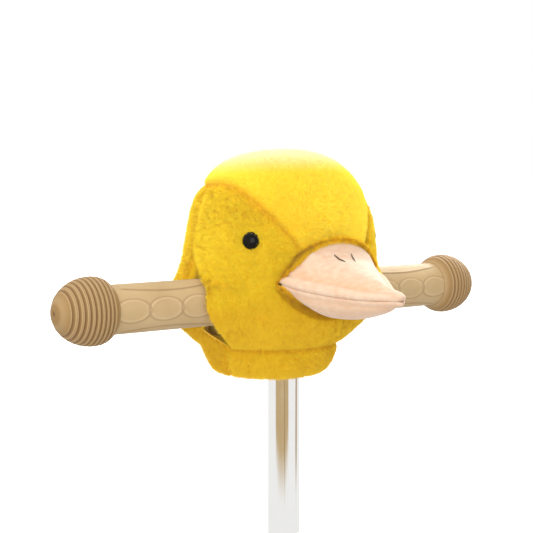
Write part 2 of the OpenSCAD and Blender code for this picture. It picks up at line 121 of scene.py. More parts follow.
class Shader:
    """A material that is being built from nodes."""

    def __init__(self, name: str) -> None:
        """Start an empty material with a Principled surface.

        Args:
            name: the material's name.
        """
        self.material = bpy.data.materials.new(name)
        self.material.use_nodes = True
        self.tree = self.material.node_tree
        self.tree.nodes.clear()
        self.body = self.tree.nodes.new("ShaderNodeBsdfPrincipled")
        out = self.tree.nodes.new("ShaderNodeOutputMaterial")
        self.tree.links.new(self.body.outputs[0], out.inputs[0])

    def _feed(self, target: bpy.types.NodeSocket, value: object) -> None:
        """Link a socket or set a number or colour on it.

        Args:
            target: the socket that is fed.
            value: a socket, a number or a colour.
        """
        if isinstance(value, Sock):
            self.tree.links.new(value.socket, target)
        elif target.type == "RGBA":
            target.default_value = (*value, 1.0)
        else:
            target.default_value = value

    def node(self, kind: str, settings: dict, sockets: dict, out: int | str = 0) -> Sock:
        """Add a node.

        Args:
            kind: the node's type.
            settings: its properties, set before its sockets; "stops" fills a ramp.
            sockets: values or links by the input's name or number.
            out: the output that is returned.

        Returns:
            The chosen output.
        """
        made = self.tree.nodes.new(kind)
        for key, value in settings.items():
            if key == "stops":
                ramp = made.color_ramp
                while len(ramp.elements) < len(value):
                    ramp.elements.new(0.5)
                for element, (place, colour) in zip(ramp.elements, value):
                    element.position = place
                    element.color = (*colour, 1.0)
            else:
                setattr(made, key, value)
        for key, value in sockets.items():
            self._feed(made.inputs[key], value)
        return Sock(self, made.outputs[out])

    def place(self, scale: tuple[float, float, float] = (1, 1, 1)) -> Sock:
        """Object coordinates in metres, stretched by scale.

        Args:
            scale: the stretch along each axis.

        Returns:
            The coordinates.
        """
        coords = self.node("ShaderNodeTexCoord", {}, {}, "Object")
        if scale == (1, 1, 1):
            return coords
        return self.node("ShaderNodeMapping", {}, {"Vector": coords, "Scale": scale})

    def noise(self, scale: float, detail: float = 2.0, where: Sock | None = None,
              rough: float = 0.5) -> Sock:
        """A noise value from 0 to 1; scale is in cells per metre.

        Args:
            scale: cells per metre.
            detail: how many finer layers are added.
            where: coordinates, if not the plain ones.
            rough: how strong the finer layers are.

        Returns:
            The noise.
        """
        return self.node("ShaderNodeTexNoise", {}, {
            "Vector": where or self.place(), "Scale": scale, "Detail": detail,
            "Roughness": rough})

    def attribute(self, name: str) -> tuple[Sock, Sock, Sock]:
        """The red, green and blue channels of a colour attribute.

        Args:
            name: the attribute's name.

        Returns:
            Its three channels.
        """
        colour = self.node("ShaderNodeAttribute", {"attribute_name": name}, {}, "Color")
        split = self.node("ShaderNodeSeparateColor", {}, {0: colour})
        outs = split.socket.node.outputs
        return tuple(Sock(self, outs[i]) for i in range(3))

    def ramp(self, value: Sock, stops: list[tuple[float, Colour]]) -> Sock:
        """A colour ramp over a value."""
        return self.node("ShaderNodeValToRGB", {"stops": stops}, {0: value})

    def mix(self, share: object, first: object, second: object, blend: str = "MIX") -> Sock:
        """A mix of two colours.

        Args:
            share: the second colour's share.
            first: a colour or socket.
            second: a colour or socket.
            blend: how they are combined.

        Returns:
            The mixed colour.
        """
        made = self.node("ShaderNodeMix", {"data_type": "RGBA", "blend_type": blend},
                         {0: share, 6: first, 7: second})
        return Sock(self, made.socket.node.outputs[2])

    def bump(self, height: Sock, strength: float, depth: float) -> Sock:
        """A bumped normal; depth is the height's size in metres."""
        return self.node("ShaderNodeBump", {}, {"Height": height, "Strength": strength,
                                                "Distance": depth})

    def surface(self, **inputs: object) -> bpy.types.Material:
        """Set the Principled sockets, underscores standing for spaces.

        Args:
            inputs: numbers, colours or sockets by name.

        Returns:
            The finished material.
        """
        for key, value in inputs.items():
            self._feed(self.body.inputs[key.replace("_", " ")], value)
        return self.material


# -------------------------------------------------------------------- finishes
@dataclass(frozen=True)
class Pile:
    """Yellow plush, seen either as the backing cloth or as its pile."""

    name: str
    root: Colour
    middle: Colour
    tip: Colour
    shade: Colour
    # Painted shade: the deep orange that the pile takes along seams, round the beak's root and
    # where it faces down.
    seam_shade: Colour = (0.80, 0.38, 0.008)
    mottle: float = 0.6
    sheen: float = 0.14

    def material(self) -> bpy.types.Material:
        """Strands run from a deep root to a pale tip, each a little different.

        Returns:
            The material.
        """
        sh = Shader(self.name)
        along, mark, seam_shade = sh.attribute("pile")
        pale = sh.node("ShaderNodeAttribute", {"attribute_name": "pile"}, {}, "Alpha")
        tone = sh.ramp(along, [(0.0, self.root), (0.55, self.middle), (1.0, self.tip)])
        drift = sh.noise(95.0, 5.0, None, 0.6)
        # The shade colour is random mottling, plus painted shade where the mark is raised beside
        # the grip.
        cover = (mark * 0.8 + drift * 1.6 - 0.95).clamped()
        colour = sh.mix(cover * self.mottle, tone, self.shade)
        # Painted highlight: pale cream tips on the crown's upward-facing pile, by the attribute's
        # alpha.
        colour = sh.mix(pale * along, colour, (0.98, 0.87, 0.66))
        # Painted shade: the seam colour is mixed in by the attribute's third channel.
        colour = sh.mix(seam_shade * 0.75, colour, self.seam_shade)
        return sh.surface(Base_Color=colour, Roughness=0.8, Sheen_Weight=self.sheen,
                          Sheen_Roughness=0.35, Sheen_Tint=(1.0, 0.95, 0.72),
                          Specular_IOR_Level=0.3)


@dataclass(frozen=True)
class Backing:
    """The knitted cloth that the pile stands on."""

    name: str
    low: Colour
    high: Colour

    def material(self) -> bpy.types.Material:
        """A fine knit with broad drifts of colour.

        Returns:
            The material.
        """
        sh = Shader(self.name)
        drift = sh.noise(60.0, 4.0)
        knit = sh.noise(1600.0, 2.0)
        colour = sh.mix((drift * 0.7 + knit * 0.5 - 0.1).clamped(), self.low, self.high)
        return sh.surface(Base_Color=colour, Roughness=0.95, Sheen_Weight=0.3,
                          Sheen_Roughness=0.6, Specular_IOR_Level=0.1,
                          Normal=sh.bump(knit, 0.6, 0.0006))


@dataclass(frozen=True)
class Velour:
    """Short brushed velour, with blotches where the nap lies differently."""

    name: str
    pale: Colour
    base: Colour
    flush: Colour

    def material(self) -> bpy.types.Material:
        """Mottled nap over a fine grain; painted shade in the creases and under the lower beak
        comes through an attribute.

        Returns:
            The material.
        """
        sh = Shader(self.name)
        crease, _, _ = sh.attribute("crease")
        nap = sh.noise(1.0, 4.0, sh.place((170.0, 260.0, 420.0)), 0.6)
        grain = sh.noise(2600.0, 3.0)
        broad = sh.noise(38.0, 2.0)
        tone = sh.ramp(nap * 0.75 + broad * 0.25,
                       [(0.34, self.flush), (0.5, self.base), (0.66, self.pale)])
        tone = sh.mix((grain - 0.35).clamped() * 0.22, tone, self.flush)
        # Painted shade from the crease attribute: creases, the groove below the lip and the
        # underside.
        tone = sh.mix(crease * 0.6, tone, (0.66, 0.36, 0.19))
        return sh.surface(Base_Color=tone, Roughness=0.9, Sheen_Weight=0.45,
                          Sheen_Roughness=0.45, Sheen_Tint=(1.0, 0.94, 0.9),
                          Specular_IOR_Level=0.15,
                          Normal=sh.bump(grain * 0.6 + nap * 0.4, 0.35, 0.0007))


@dataclass(frozen=True)
class GripRubber:
    """Matt moulded rubber with a fine sandy grain."""

    name: str = "tan grip rubber"
    pale: Colour = (0.54, 0.385, 0.20)
    base: Colour = (0.44, 0.30, 0.14)
    # The colour of painted shade in grooves, hollows and the bore.
    groove: Colour = (0.20, 0.105, 0.036)

    def material(self) -> bpy.types.Material:
        """Painted shade in the grooves, a painted highlight on the rim of each rib and pad, and a
        darker knob.

        Returns:
            The material.
        """
        sh = Shader(self.name)
        depth, rim, knob = sh.attribute("wear")
        grain = sh.noise(2400.0, 3.0)
        broad = sh.noise(55.0, 3.0)
        tone = sh.mix((broad * 1.3 - 0.15).clamped(), self.base, self.pale)
        tone = sh.mix((grain * 1.6 - 0.62).clamped() * 0.3, tone, (0.40, 0.27, 0.12))
        tone = sh.mix(knob * 0.9, tone, (0.27, 0.145, 0.038))
        # Painted highlight: the rims of ribs and pads turn paler.
        tone = sh.mix(rim * 0.4, tone, (0.68, 0.51, 0.29))
        # Painted shade: grooves, the step at the knob, the tip's hollow and the bore go dark.
        tone = sh.mix(depth * 0.85, tone, self.groove)
        return sh.surface(Base_Color=tone, Roughness=grain * 0.18 + 0.52,
                          Specular_IOR_Level=0.4,
                          Normal=sh.bump(grain, 0.35, 0.00035))


@dataclass(frozen=True)
class Steel:
    """Polished tube with faint drawing lines along it."""

    name: str
    stretch: tuple[float, float, float]
    rough: float = 0.09

    def material(self) -> bpy.types.Material:
        """Fine lines along the tube and a few dull patches from handling.

        Returns:
            The material.
        """
        sh = Shader(self.name)
        lines = sh.noise(1.0, 3.0, sh.place(self.stretch))
        smear = sh.noise(48.0, 4.0)
        rough = lines * 0.06 + (smear * 2.0 - 1.0).clamped() * 0.12 + self.rough - 0.03
        tone = sh.mix(smear, (0.86, 0.85, 0.83), (0.93, 0.93, 0.92))
        return sh.surface(Base_Color=tone, Metallic=1.0, Roughness=rough,
                          Normal=sh.bump(lines, 0.05, 0.0001))


@dataclass(frozen=True)
class Woven:
    """Plain woven cloth, board, webbing or felt with its own thread size."""

    name: str
    dark: Colour
    light: Colour
    pitch: float = 0.0007
    rough: float = 0.9
    fuzz: float = 0.2

    def material(self) -> bpy.types.Material:
        """Crossed threads whose shade drifts over the cloth.

        Returns:
            The material.
        """
        sh = Shader(self.name)
        bands = []
        for axis in ("X", "Y", "Z"):
            bands.append(sh.node("ShaderNodeTexWave", {"bands_direction": axis},
                                 {"Vector": sh.place(), "Scale": 0.314 / self.pitch,
                                  "Distortion": 0.6, "Detail": 1.0}))
        weave = (bands[0] + bands[1] + bands[2]) * 0.34
        drift = sh.noise(90.0, 4.0)
        tone = sh.mix((weave * 0.6 + drift * 0.5).clamped(), self.dark, self.light)
        return sh.surface(Base_Color=tone, Roughness=self.rough, Sheen_Weight=self.fuzz,
                          Normal=sh.bump(weave, 0.5, self.pitch * 0.4))


@dataclass(frozen=True)
class EyeGloss:
    """Deep black moulded eye under a clear gloss."""

    name: str = "glossy black eye"

    def material(self) -> bpy.types.Material:
        """Nearly black, with a trace of swirl and a few fine scuffs.

        Returns:
            The material.
        """
        sh = Shader(self.name)
        swirl = sh.noise(260.0, 4.0)
        scuff = (sh.noise(900.0, 5.0) * 3.0 - 1.9).clamped()
        tone = sh.mix(swirl, (0.004, 0.004, 0.005), (0.014, 0.011, 0.009))
        return sh.surface(Base_Color=tone, Roughness=scuff * 0.2 + 0.07,
                          Coat_Weight=0.06, Coat_Roughness=0.03,
                          Specular_IOR_Level=0.05)


@dataclass(frozen=True)
class Thread:
    """Twisted embroidery thread."""

    name: str = "dark brown thread"
    dark: Colour = (0.035, 0.02, 0.012)
    light: Colour = (0.13, 0.075, 0.045)

    def material(self) -> bpy.types.Material:
        """Slanting plies along each stitch.

        Returns:
            The material.
        """
        sh = Shader(self.name)
        plies = sh.node("ShaderNodeTexWave", {"bands_direction": "DIAGONAL"},
                        {"Vector": sh.place(), "Scale": 520.0, "Distortion": 1.0})
        tone = sh.mix(plies * 0.8 + sh.noise(400.0) * 0.3, self.dark, self.light)
        return sh.surface(Base_Color=tone, Roughness=0.75, Sheen_Weight=0.2,
                          Normal=sh.bump(plies, 0.5, 0.0002))


@dataclass(frozen=True)
class Painted:
    """The plain pale floor."""

    name: str = "pale floor"

    def material(self) -> bpy.types.Material:
        """Almost white, with barely visible drifts.

        Returns:
            The material.
        """
        sh = Shader(self.name)
        tone = sh.mix(sh.noise(3.0), (0.90, 0.90, 0.90), (0.94, 0.94, 0.94))
        return sh.surface(Base_Color=tone, Roughness=0.6, Specular_IOR_Level=0.1,
                          Emission_Color=(1.0, 1.0, 1.0), Emission_Strength=0.6)


CHEEK_PILE = Pile("cheek plush pile", (0.93, 0.54, 0.008), (0.97, 0.70, 0.018),
                  (1.0, 0.83, 0.05), (0.74, 0.50, 0.012))
CROWN_PILE = Pile("crown plush pile", (0.96, 0.62, 0.010), (0.98, 0.77, 0.030),
                  (1.0, 0.88, 0.09), (0.97, 0.66, 0.015), mottle=0.3, sheen=0.4)
BACKING = Backing("plush backing", (0.90, 0.52, 0.008), (0.96, 0.66, 0.015))
MOUTH_FELT = Woven("mouth felt", (0.62, 0.25, 0.17), (0.83, 0.42, 0.32), 0.0011, 0.95, 0.5)
BEAK_VELOUR = Velour("peach velour", (0.72, 0.56, 0.42), (0.69, 0.495, 0.35),
                     (0.66, 0.42, 0.285))


class Shared:
    """Finishes that are made once and then shared between pieces."""

    made: dict[str, bpy.types.Material] = {}

    @classmethod
    def of(cls, finish: object) -> bpy.types.Material:
        """The one material of a finish.

        Args:
            finish: any of the finishes above.

        Returns:
            Its material, made the first time that it is asked for.
        """
        if finish.name not in cls.made:
            cls.made[finish.name] = finish.material()
        return cls.made[finish.name]


# ------------------------------------------------------------------ mesh tools
def mesh_object(name: str, points: Points, faces: list | np.ndarray,
                material: bpy.types.Material, smooth: bool = True) -> bpy.types.Object:
    """Make an object at the origin from points in metres.

    Args:
        name: the piece's name.
        points: an array of n by 3.
        faces: lists of point numbers, or an array of equal-sized faces.
        material: the piece's finish.
        smooth: whether its faces are shaded smooth.

    Returns:
        The new object.
    """
    mesh = bpy.data.meshes.new(name)
    if isinstance(faces, np.ndarray):
        count, size = faces.shape
        mesh.vertices.add(len(points))
        mesh.vertices.foreach_set("co", points.astype(np.float32).ravel())
        mesh.loops.add(count * size)
        mesh.loops.foreach_set("vertex_index", faces.astype(np.int32).ravel())
        mesh.polygons.add(count)
        mesh.polygons.foreach_set("loop_start", np.arange(0, count * size, size, dtype=np.int32))
        mesh.update(calc_edges=True)
        mesh.validate()
    else:
        mesh.from_pydata([tuple(p) for p in points], [], faces)
        mesh.update()
    mesh.polygons.foreach_set("use_smooth", np.full(len(mesh.polygons), smooth))
    mesh.materials.append(material)
    made = bpy.data.objects.new(name, mesh)
    bpy.context.scene.collection.objects.link(made)
    return made


def paint(piece: bpy.types.Object, name: str, channels: Points) -> None:
    """Store three numbers per point as a colour attribute.

    Args:
        piece: the object.
        name: the attribute's name.
        channels: n by 3 or 4 numbers.
    """
    layer = piece.data.attributes.new(name, "FLOAT_COLOR", "POINT")
    values = np.zeros((len(piece.data.vertices), 4), dtype=np.float32)
    values[:, :channels.shape[1]] = channels
    layer.data.foreach_set("color", values.ravel())


def grid_faces(rows: int, columns: int, start: int = 0, turned: bool = False) -> Points:
    """Quads over a grid of rows by columns of points.

    Args:
        rows: how many rows of points.
        columns: how many columns.
        start: the first point's number.
        turned: whether the faces are turned round.

    Returns:
        The quads.
    """
    j, i = np.meshgrid(np.arange(rows - 1), np.arange(columns - 1), indexing="ij")
    a = start + (j * columns + i).ravel()
    quads = np.stack([a, a + columns, a + columns + 1, a + 1], axis=1)
    return quads[:, ::-1] if turned else quads


def shell(outer: Points, inner: Points, turned: bool) -> tuple[Points, Points]:
    """A closed wall between two grids of the same size.

    Args:
        outer: rows by columns by 3.
        inner: the same for the far side.
        turned: whether the faces are turned round.

    Returns:
        The points and the quads.
    """
    rows, columns = outer.shape[:2]
    step = rows * columns
    number = np.arange(step).reshape(rows, columns)
    loop = np.concatenate([number[0, :-1], number[:-1, -1], number[-1, :0:-1],
                           number[:0:-1, 0]])
    following = np.roll(loop, -1)
    rim = np.stack([loop, following, following + step, loop + step], axis=1)
    rim = rim if turned else rim[:, ::-1]
    faces = np.concatenate([grid_faces(rows, columns, 0, turned),
                            grid_faces(rows, columns, step, not turned),
                            rim[:, ::-1]])
    return np.concatenate([outer.reshape(-1, 3), inner.reshape(-1, 3)]), faces


def curve_table(table: list[tuple[float, float]], at: Points) -> Points:
    """A smooth curve through a table's points, without overshoot.

    Args:
        table: pairs of place and value, in rising order.
        at: the places asked for.

    Returns:
        The values there.
    """
    x, y = np.array(table, dtype=float).T
    slope = np.diff(y) / np.diff(x)
    tangent = np.concatenate([[slope[0]], (slope[1:] + slope[:-1]) / 2, [slope[-1]]])
    flat = np.concatenate([[False], slope[1:] * slope[:-1] <= 0, [False]])
    tangent[flat] = 0
    at = np.clip(at, x[0], x[-1])
    i = np.clip(np.searchsorted(x, at, side="right") - 1, 0, len(x) - 2)
    h = x[i + 1] - x[i]
    t = (at - x[i]) / h
    return (y[i] * (1 + 2 * t) * (1 - t) ** 2 + tangent[i] * h * t * (1 - t) ** 2
            + y[i + 1] * t * t * (3 - 2 * t) + tangent[i + 1] * h * t * t * (t - 1))


def along(path: list, t: Points) -> Points:
    """Points on a smooth path through the corners of a seam, t from 0 to 1.

    Args:
        path: the seam's corners.
        t: places on it.

    Returns:
        The points there.
    """
    corners = np.array(path, dtype=float)
    n = len(corners) - 1
    padded = np.concatenate([[2 * corners[0] - corners[1]], corners,
                             [2 * corners[-1] - corners[-2]]])
    u = np.clip(t, 0, 1) * n
    i = np.minimum(u.astype(int), n - 1)
    f = (u - i)[..., None]
    a, b, c, d = (padded[i + k] for k in range(4))
    return 0.5 * (2 * b + (c - a) * f + (2 * a - 5 * b + 4 * c - d) * f * f
                  + (3 * b - a - 3 * c + d) * f ** 3)


def smoothstep(low: float, high: float, value: Points) -> Points:
    """0 below low, 1 above high, and smooth between them."""
    t = np.clip((value - low) / (high - low), 0, 1)
    return t * t * (3 - 2 * t)


def crowded(count: int) -> Points:
    """Numbers from 0 to 1 that lie closer together at both ends."""
    t = np.linspace(0, 1, count)
    return t - 0.6 * np.sin(2 * np.pi * t) / (2 * np.pi)


def wobble(points: Points, size: float, seed: int) -> Points:
    """Smooth random values from -1 to 1 over space.

    Args:
        points: n by 3, in millimetres.
        size: the distance over which the value changes, in millimetres.
        seed: which pattern.

    Returns:
        One value for each point.
    """
    rng = np.random.default_rng(seed)
    total = np.zeros(points.shape[:-1])
    for _ in range(10):
        way = rng.normal(size=3)
        way *= rng.uniform(0.6, 1.5) * 2 * math.pi / (size * 2.2 * np.linalg.norm(way))
        total += np.sin(points @ way + rng.uniform(0, 2 * math.pi))
    return np.clip(total / 4.0, -1, 1)


# ------------------------------------------------------------------- the head
@dataclass
class HeadForm:
    """The head's outer surface, in millimetres from the cross tube's axis."""

    bar_z: float = 235.0
    half_w: float = 65.5
    top: float = 99.5
    power: float = 2.6
    hem: float = -54.5
    mid: float = 20.0
    lip: float = 30.0
    swell: float = 15.0
    core: tuple[float, float, float] = (6.0, -30.0, 30.0)
    low_w: list = field(default_factory=lambda: [
        (-54.5, 36.5), (-52, 39), (-46, 42.5), (-36, 45.5), (-32, 46), (-28, 50),
        (-20, 56), (-10, 61.5), (5, 65), (20, 65.5)])
    low_c: list = field(default_factory=lambda: [
        (-54.5, 17), (-46, 16), (-32, 14.5), (-20, 11), (-10, 7), (5, 4), (20, 3)])
    low_f: list = field(default_factory=lambda: [
        (-54.5, 37), (-46, 43), (-36, 46), (-32, 46), (-28, 48.5), (-20, 54),
        (-10, 58), (5, 61), (20, 61.5)])
    low_r: list = field(default_factory=lambda: [
        (-54.5, 37), (-46, 42.5), (-36, 46), (-28, 51), (-20, 56), (-10, 61.5),
        (5, 66), (20, 67)])

    def flare(self, p: Points) -> Points:
        """How far the lips of the slits stand out round the grips.

        Args:
            p: points on the plain form.

        Returns:
            How far each one moves sideways.
        """
        x, y, z = p[..., 0], p[..., 1], p[..., 2]
        front = self.lip * np.exp(-(z / 17.5) ** 2 - (y / 26) ** 2)
        rear = self.swell * np.exp(-((z + 6) / 24) ** 2 - ((y - 34) / 16) ** 2)
        amount = np.where(y < 13.7, front, rear)
        return np.sign(x) * np.minimum(1, np.abs(x) / 30) * amount

    def surface(self, q: Points) -> Points:
        """The surface's point that each rough point is nearest to.

        Args:
            q: rough points.

        Returns:
            Points on the surface.
        """
        z = np.maximum(q[..., 2], self.hem)
        low_z = np.minimum(z, self.mid)
        centre = curve_table(self.low_c, low_z)
        dy = q[..., 1] - centre
        half = np.where(dy > 0, curve_table(self.low_r, low_z), curve_table(self.low_f, low_z))
        k = 1 / np.maximum(np.hypot(q[..., 0] / curve_table(self.low_w, low_z), dy / half), 1e-6)
        low = np.stack([q[..., 0] * k, centre + dy * k, z], axis=-1)
        d = q - np.array([0.0, 3.0, self.mid])
        half = np.where(d[..., 1] > 0, 67.0, 61.5)
        ring = np.hypot(d[..., 0] / self.half_w, d[..., 1] / half)
        rise = np.maximum(d[..., 2], 0) / (self.top - self.mid)
        k = np.maximum(ring ** self.power + rise ** self.power, 1e-9) ** (-1 / self.power)
        high = np.array([0.0, 3.0, self.mid]) + d * k[..., None]
        p = np.where((q[..., 2] > self.mid)[..., None], high, low)
        p[..., 0] += self.flare(p)
        return p

    def below(self, p: Points, depth: Points | float) -> Points:
        """The points at a depth below outer points, towards the upright core.

        Args:
            p: outer points.
            depth: how deep, or how far out if negative.

        Returns:
            The points there.
        """
        core = np.zeros_like(p)
        core[..., 1] = self.core[0]
        core[..., 2] = np.clip(p[..., 2], self.core[1], self.core[2])
        way = core - p
        length = np.linalg.norm(way, axis=-1, keepdims=True)
        return p + way * (np.asarray(depth)[..., None] / length)

    def patch(self, left: list, right: list, low: list, high: list, s: Points,
              t: Points) -> Points:
        """Blend four edges into a patch and lay it on the surface.

        Args:
            left: the edge at s = 0.
            right: the edge at s = 1.
            low: the edge at t = 0.
            high: the edge at t = 1.
            s: places across, from 0 to 1.
            t: places up, from 0 to 1.

        Returns:
            The points there.
        """
        s3, t3 = s[..., None], t[..., None]
        sides = along(left, t) * (1 - s3) + along(right, t) * s3
        ends = along(low, s) * (1 - t3) + along(high, s) * t3
        a, b, c, d = (np.array(p, dtype=float) for p in (low[0], low[-1], high[0], high[-1]))
        corners = (a * (1 - s3) + b * s3) * (1 - t3) + (c * (1 - s3) + d * s3) * t3
        return self.surface(sides + ends - corners)


class Nap(Enum):
    """How a panel's pile lies."""

    TUMBLED = "tumbled"
    SMOOTH = "smooth"


@dataclass(frozen=True)
class Lie:
    """How one kind of pile lies: angles in degrees, sizes in millimetres."""

    finish: Pile
    comb: tuple[float, float, float]
    sway: tuple[float, float, float]
    stray: float
    lean: float
    lean_spread: float
    length: float
    width: float


LIES = {
    Nap.SMOOTH: Lie(CROWN_PILE, (0.0, 0.75, -0.2), (0.15, 0.08, 0.12), 0.25, 50, 7, 3.2, 0.27),
    Nap.TUMBLED: Lie(CHEEK_PILE, (0.0, 0.2, -0.55), (0.15, 0.13, 0.4), 0.45, 40, 11, 3.3, 0.29),
}
SWAY_SIZES = (20.0, 4.5, 1.5)
SWAY_SEEDS = (21, 24, 27)
CLUMP_SIZE = 1.9
CLUMP_SEED = 31
TIP_SHARE = 0.11
# Painted highlight only on pile above this height.
PAINTED_HIGHLIGHT_ABOVE = 60.0
# Painted shade on the back panels, in a band beside the grip.
SHADE_DEPTH = 1.2
SHADE_AT = 12.0
SHADE_WIDTH = 14.0
EYE_CLEARANCE = 5.3


@dataclass
class Panel:
    """One sewn plush panel: four seams, its layers' depths and its pile."""

    name: str
    left: list
    right: list
    low: list
    high: list
    nap: Nap
    nodes: tuple[str, ...]
    grid: tuple[int, int]
    strands: int
    # How much painted shade the left, right, low and high seams get.
    shade_by_seam: tuple[float, float, float, float] = (0.0, 0.0, 0.0, 0.0)
    turned: bool = False
    thin_below: float = -99.0
    seed: int = 1
    mirrored: bool = False
    closed_left: bool = False
    beak_edge: int | None = None
    shaded: bool = False


EYE_SEAT = (-52.5, -33.0, 41.6)


@dataclass
class PlushHead:
    """The stuffed head: panels, their pile, and the cloth inside."""

    form: HeadForm = field(default_factory=HeadForm)
    rise: float = 1.5
    dip: float = 1.9
    dip_width: float = 3.4
    wall: float = 12.8
    skin: float = 4.2
    grip_room: float = 17.4
    seam_front: list = field(default_factory=lambda: [-26, -52, 34.5])
    seam_side: list = field(default_factory=lambda: [-50, 13, 77.5])

    def seams(self) -> dict[str, list]:
        """The right half's seams, by name.

        Returns:
            Paths by name.
        """
        front, side, hem = self.seam_front, self.seam_side, self.form.hem
        return {
            "brow": [side, [-51, 0, 77.5], [-50, -12, 75.5], [-47.7, -25, 69.5],
                     [-43.5, -37, 61], [-35, -47, 48], front],
            "root": [[-0.4, -33, -31], [-0.4, -41, -22], [-0.4, -50, -10.5],
                     [-14, -50, -8.8], [-26, -49, -3], [-35, -47, 5], [-40.2, -45, 13.5],
                     [-38, -47.5, 20], [-33.3, -50.5, 28], front],
            "slit_front": [[-46, 0, -31], [-54, -9, -20], [-60, -17, -9], [-62, -18.5, 0],
                           [-63, -16, 10], [-66, -3, 20], [-65, 13, 32], [-59.5, 13, 58],
                           side],
            "slit_back": [[-36, 12.4, hem], [-42, 8.4, -44], [-46, 5.4, -33], [-54, 12, -20],
                          [-60, 19, -9], [-61, 22, 0], [-61.5, 22.5, 11], [-63, 20, 22],
                          [-64.5, 14.6, 33], [-59.5, 14.4, 58], [-50, 14.2, 77.5]],
            "crease": [[-46, 0, -31], [-38, -18, -31], [-21, -29, -31], [-0.4, -33, -31]],
            "back": [[-50, 14.2, 77.5], [-46.6, 25, 76.8], [-36, 43, 74], [-18, 54, 71.5],
                     [-0.4, 58, 71]],
            "centre": [[-1.6, 54, hem], [-1.6, 60, -38], [-1.4, 66, -22], [-0.8, 69, -6],
                       [-0.4, 70, 10], [-0.4, 69.5, 28], [-0.4, 68, 46], [-0.4, 58, 71]],
            "hem": [[-36, 12.4, hem], [-35, 28, hem], [-26, 44, hem], [-12, 52, hem],
                    [-1.6, 54, hem]],
            "crown_front": [[-26, -52, 35.2], [-14, -57, 40.2], [0, -58.5, 42.2],
                            [14, -57, 40.2], [26, -52, 35.2]],
            "crown_side": [[-26, -52, 35.2], [-35, -46.5, 48.8], [-43, -36.5, 61.8],
                           [-47.6, -24, 70.6], [-49.9, -10.5, 76.5], [-50.3, 3, 78.5],
                           [-49.4, 13.6, 78.6], [-46.2, 24.6, 78], [-35.6, 42.4, 75]],
            "crown_back": [[-35.6, 42.4, 75], [-18, 53.4, 72.4], [0, 57.4, 71.8],
                           [18, 53.4, 72.4], [35.6, 42.4, 75]],
            "neck_left": [[-36, 11.6, hem], [-42, 7.6, -44], [-46, 4.4, -32]],
            "neck_low": [[-36, 11.6, hem], [-33, -4, hem], [-19, -15, hem], [0, -20, hem],
                         [19, -15, hem], [33, -4, hem], [36, 11.6, hem]],
            "neck_high": [[-46, 4.4, -32], [-39, -17, -32], [-22, -28, -32], [0, -32, -32],
                          [22, -28, -32], [39, -17, -32], [46, 4.4, -32]],
        }

    def panels(self) -> list[Panel]:
        """The sewn panels of both halves.

        Returns:
            The panels in building order.
        """
        s = self.seams()

        def other(path: list) -> list:
            """The same seam on the left half."""
            return [[-x, y, z] for x, y, z in path]

        made = [
            Panel("crown_plush", s["crown_side"], other(s["crown_side"]), s["crown_front"],
                  s["crown_back"], Nap.SMOOTH, ("crown_panel", "crown_filling"),
                  (110, 110), 92000, (0.6, 0.25, 0.1, 0.5), seed=11, beak_edge=2),
            Panel("neck_plush", s["neck_left"], other(s["neck_left"]), s["neck_low"],
                  s["neck_high"], Nap.TUMBLED, ("neck_band",), (120, 22), 30000,
                  (0.0, 0.0, 0.0, 1.0), thin_below=99.0, seed=12),
        ]
        for right in (True, False):
            side = "right" if right else "left"
            made.append(Panel(
                f"{side}_cheek_plush", s["slit_front"], s["root"], s["crease"], s["brow"],
                Nap.TUMBLED, (f"{side}_cheek_panel", f"{side}_cheek_filling"), (90, 130),
                88000, (0.0, 0.1, 0.5, 0.6), seed=13, mirrored=not right,
                closed_left=True, beak_edge=1))
            made.append(Panel(
                f"{side}_back_plush", s["slit_back"], s["centre"], s["hem"], s["back"],
                Nap.TUMBLED, (f"{side}_back_panel", f"{side}_back_filling"), (70, 110),
                60000, (0.0, 0.3, 0.0, 0.5), turned=True, thin_below=-22.0, seed=14,
                mirrored=not right, closed_left=True, shaded=True))
        return made

    def edges(self, s: Points, t: Points, size: tuple[float, float]) -> Points:
        """Distances to the left, right, low and high seams, in millimetres."""
        return np.stack([s * size[0], (1 - s) * size[0], t * size[1], (1 - t) * size[1]])

    @staticmethod
    def hidden_seam(p: Points) -> Points:
        """1 along the chin's middle, where the two cheeks join without a line."""
        return ((1 - smoothstep(3, 12, np.abs(p[..., 0])))
                * (1 - smoothstep(-16, -11, p[..., 2])) * (p[..., 1] < 0))

    def depth(self, panel: Panel, p: Points, edges: Points) -> Points:
        """How far the cloth lies below the outline: it rolls in along every seam.

        Args:
            panel: the panel.
            p: its outline points.
            edges: their distances to the four seams.

        Returns:
            Depths in millimetres.
        """
        near = np.exp(-(edges / self.dip_width) ** 1.5)
        if panel.closed_left:
            near[0] *= 1 - 0.75 * smoothstep(24, 34, p[..., 2])
        if panel.beak_edge is not None:
            near[panel.beak_edge] *= 0.35
        near[1] *= 1 - 0.9 * self.hidden_seam(p)
        roll = self.dip * near.max(axis=0)
        stuffed = 0.45 * wobble(p, 30, 5) + 0.12 * wobble(p, 12, 6)
        return self.rise + roll + stuffed * (1 - np.exp(-edges.min(axis=0) / 6))

    def clear(self, p: Points, extra: float = 0.0) -> Points:
        """Push points out of the room that the grips and the cross tube need.

        Args:
            p: points of a wall.
            extra: room beyond the least.

        Returns:
            The points, pushed out where needed.
        """
        gap = np.hypot(p[..., 1], p[..., 2])
        need = self.grip_room + extra
        push = np.where(gap < need, need / np.maximum(gap, 1e-6), 1.0)
        out = p.copy()
        out[..., 1] *= push
        out[..., 2] *= push
        return out

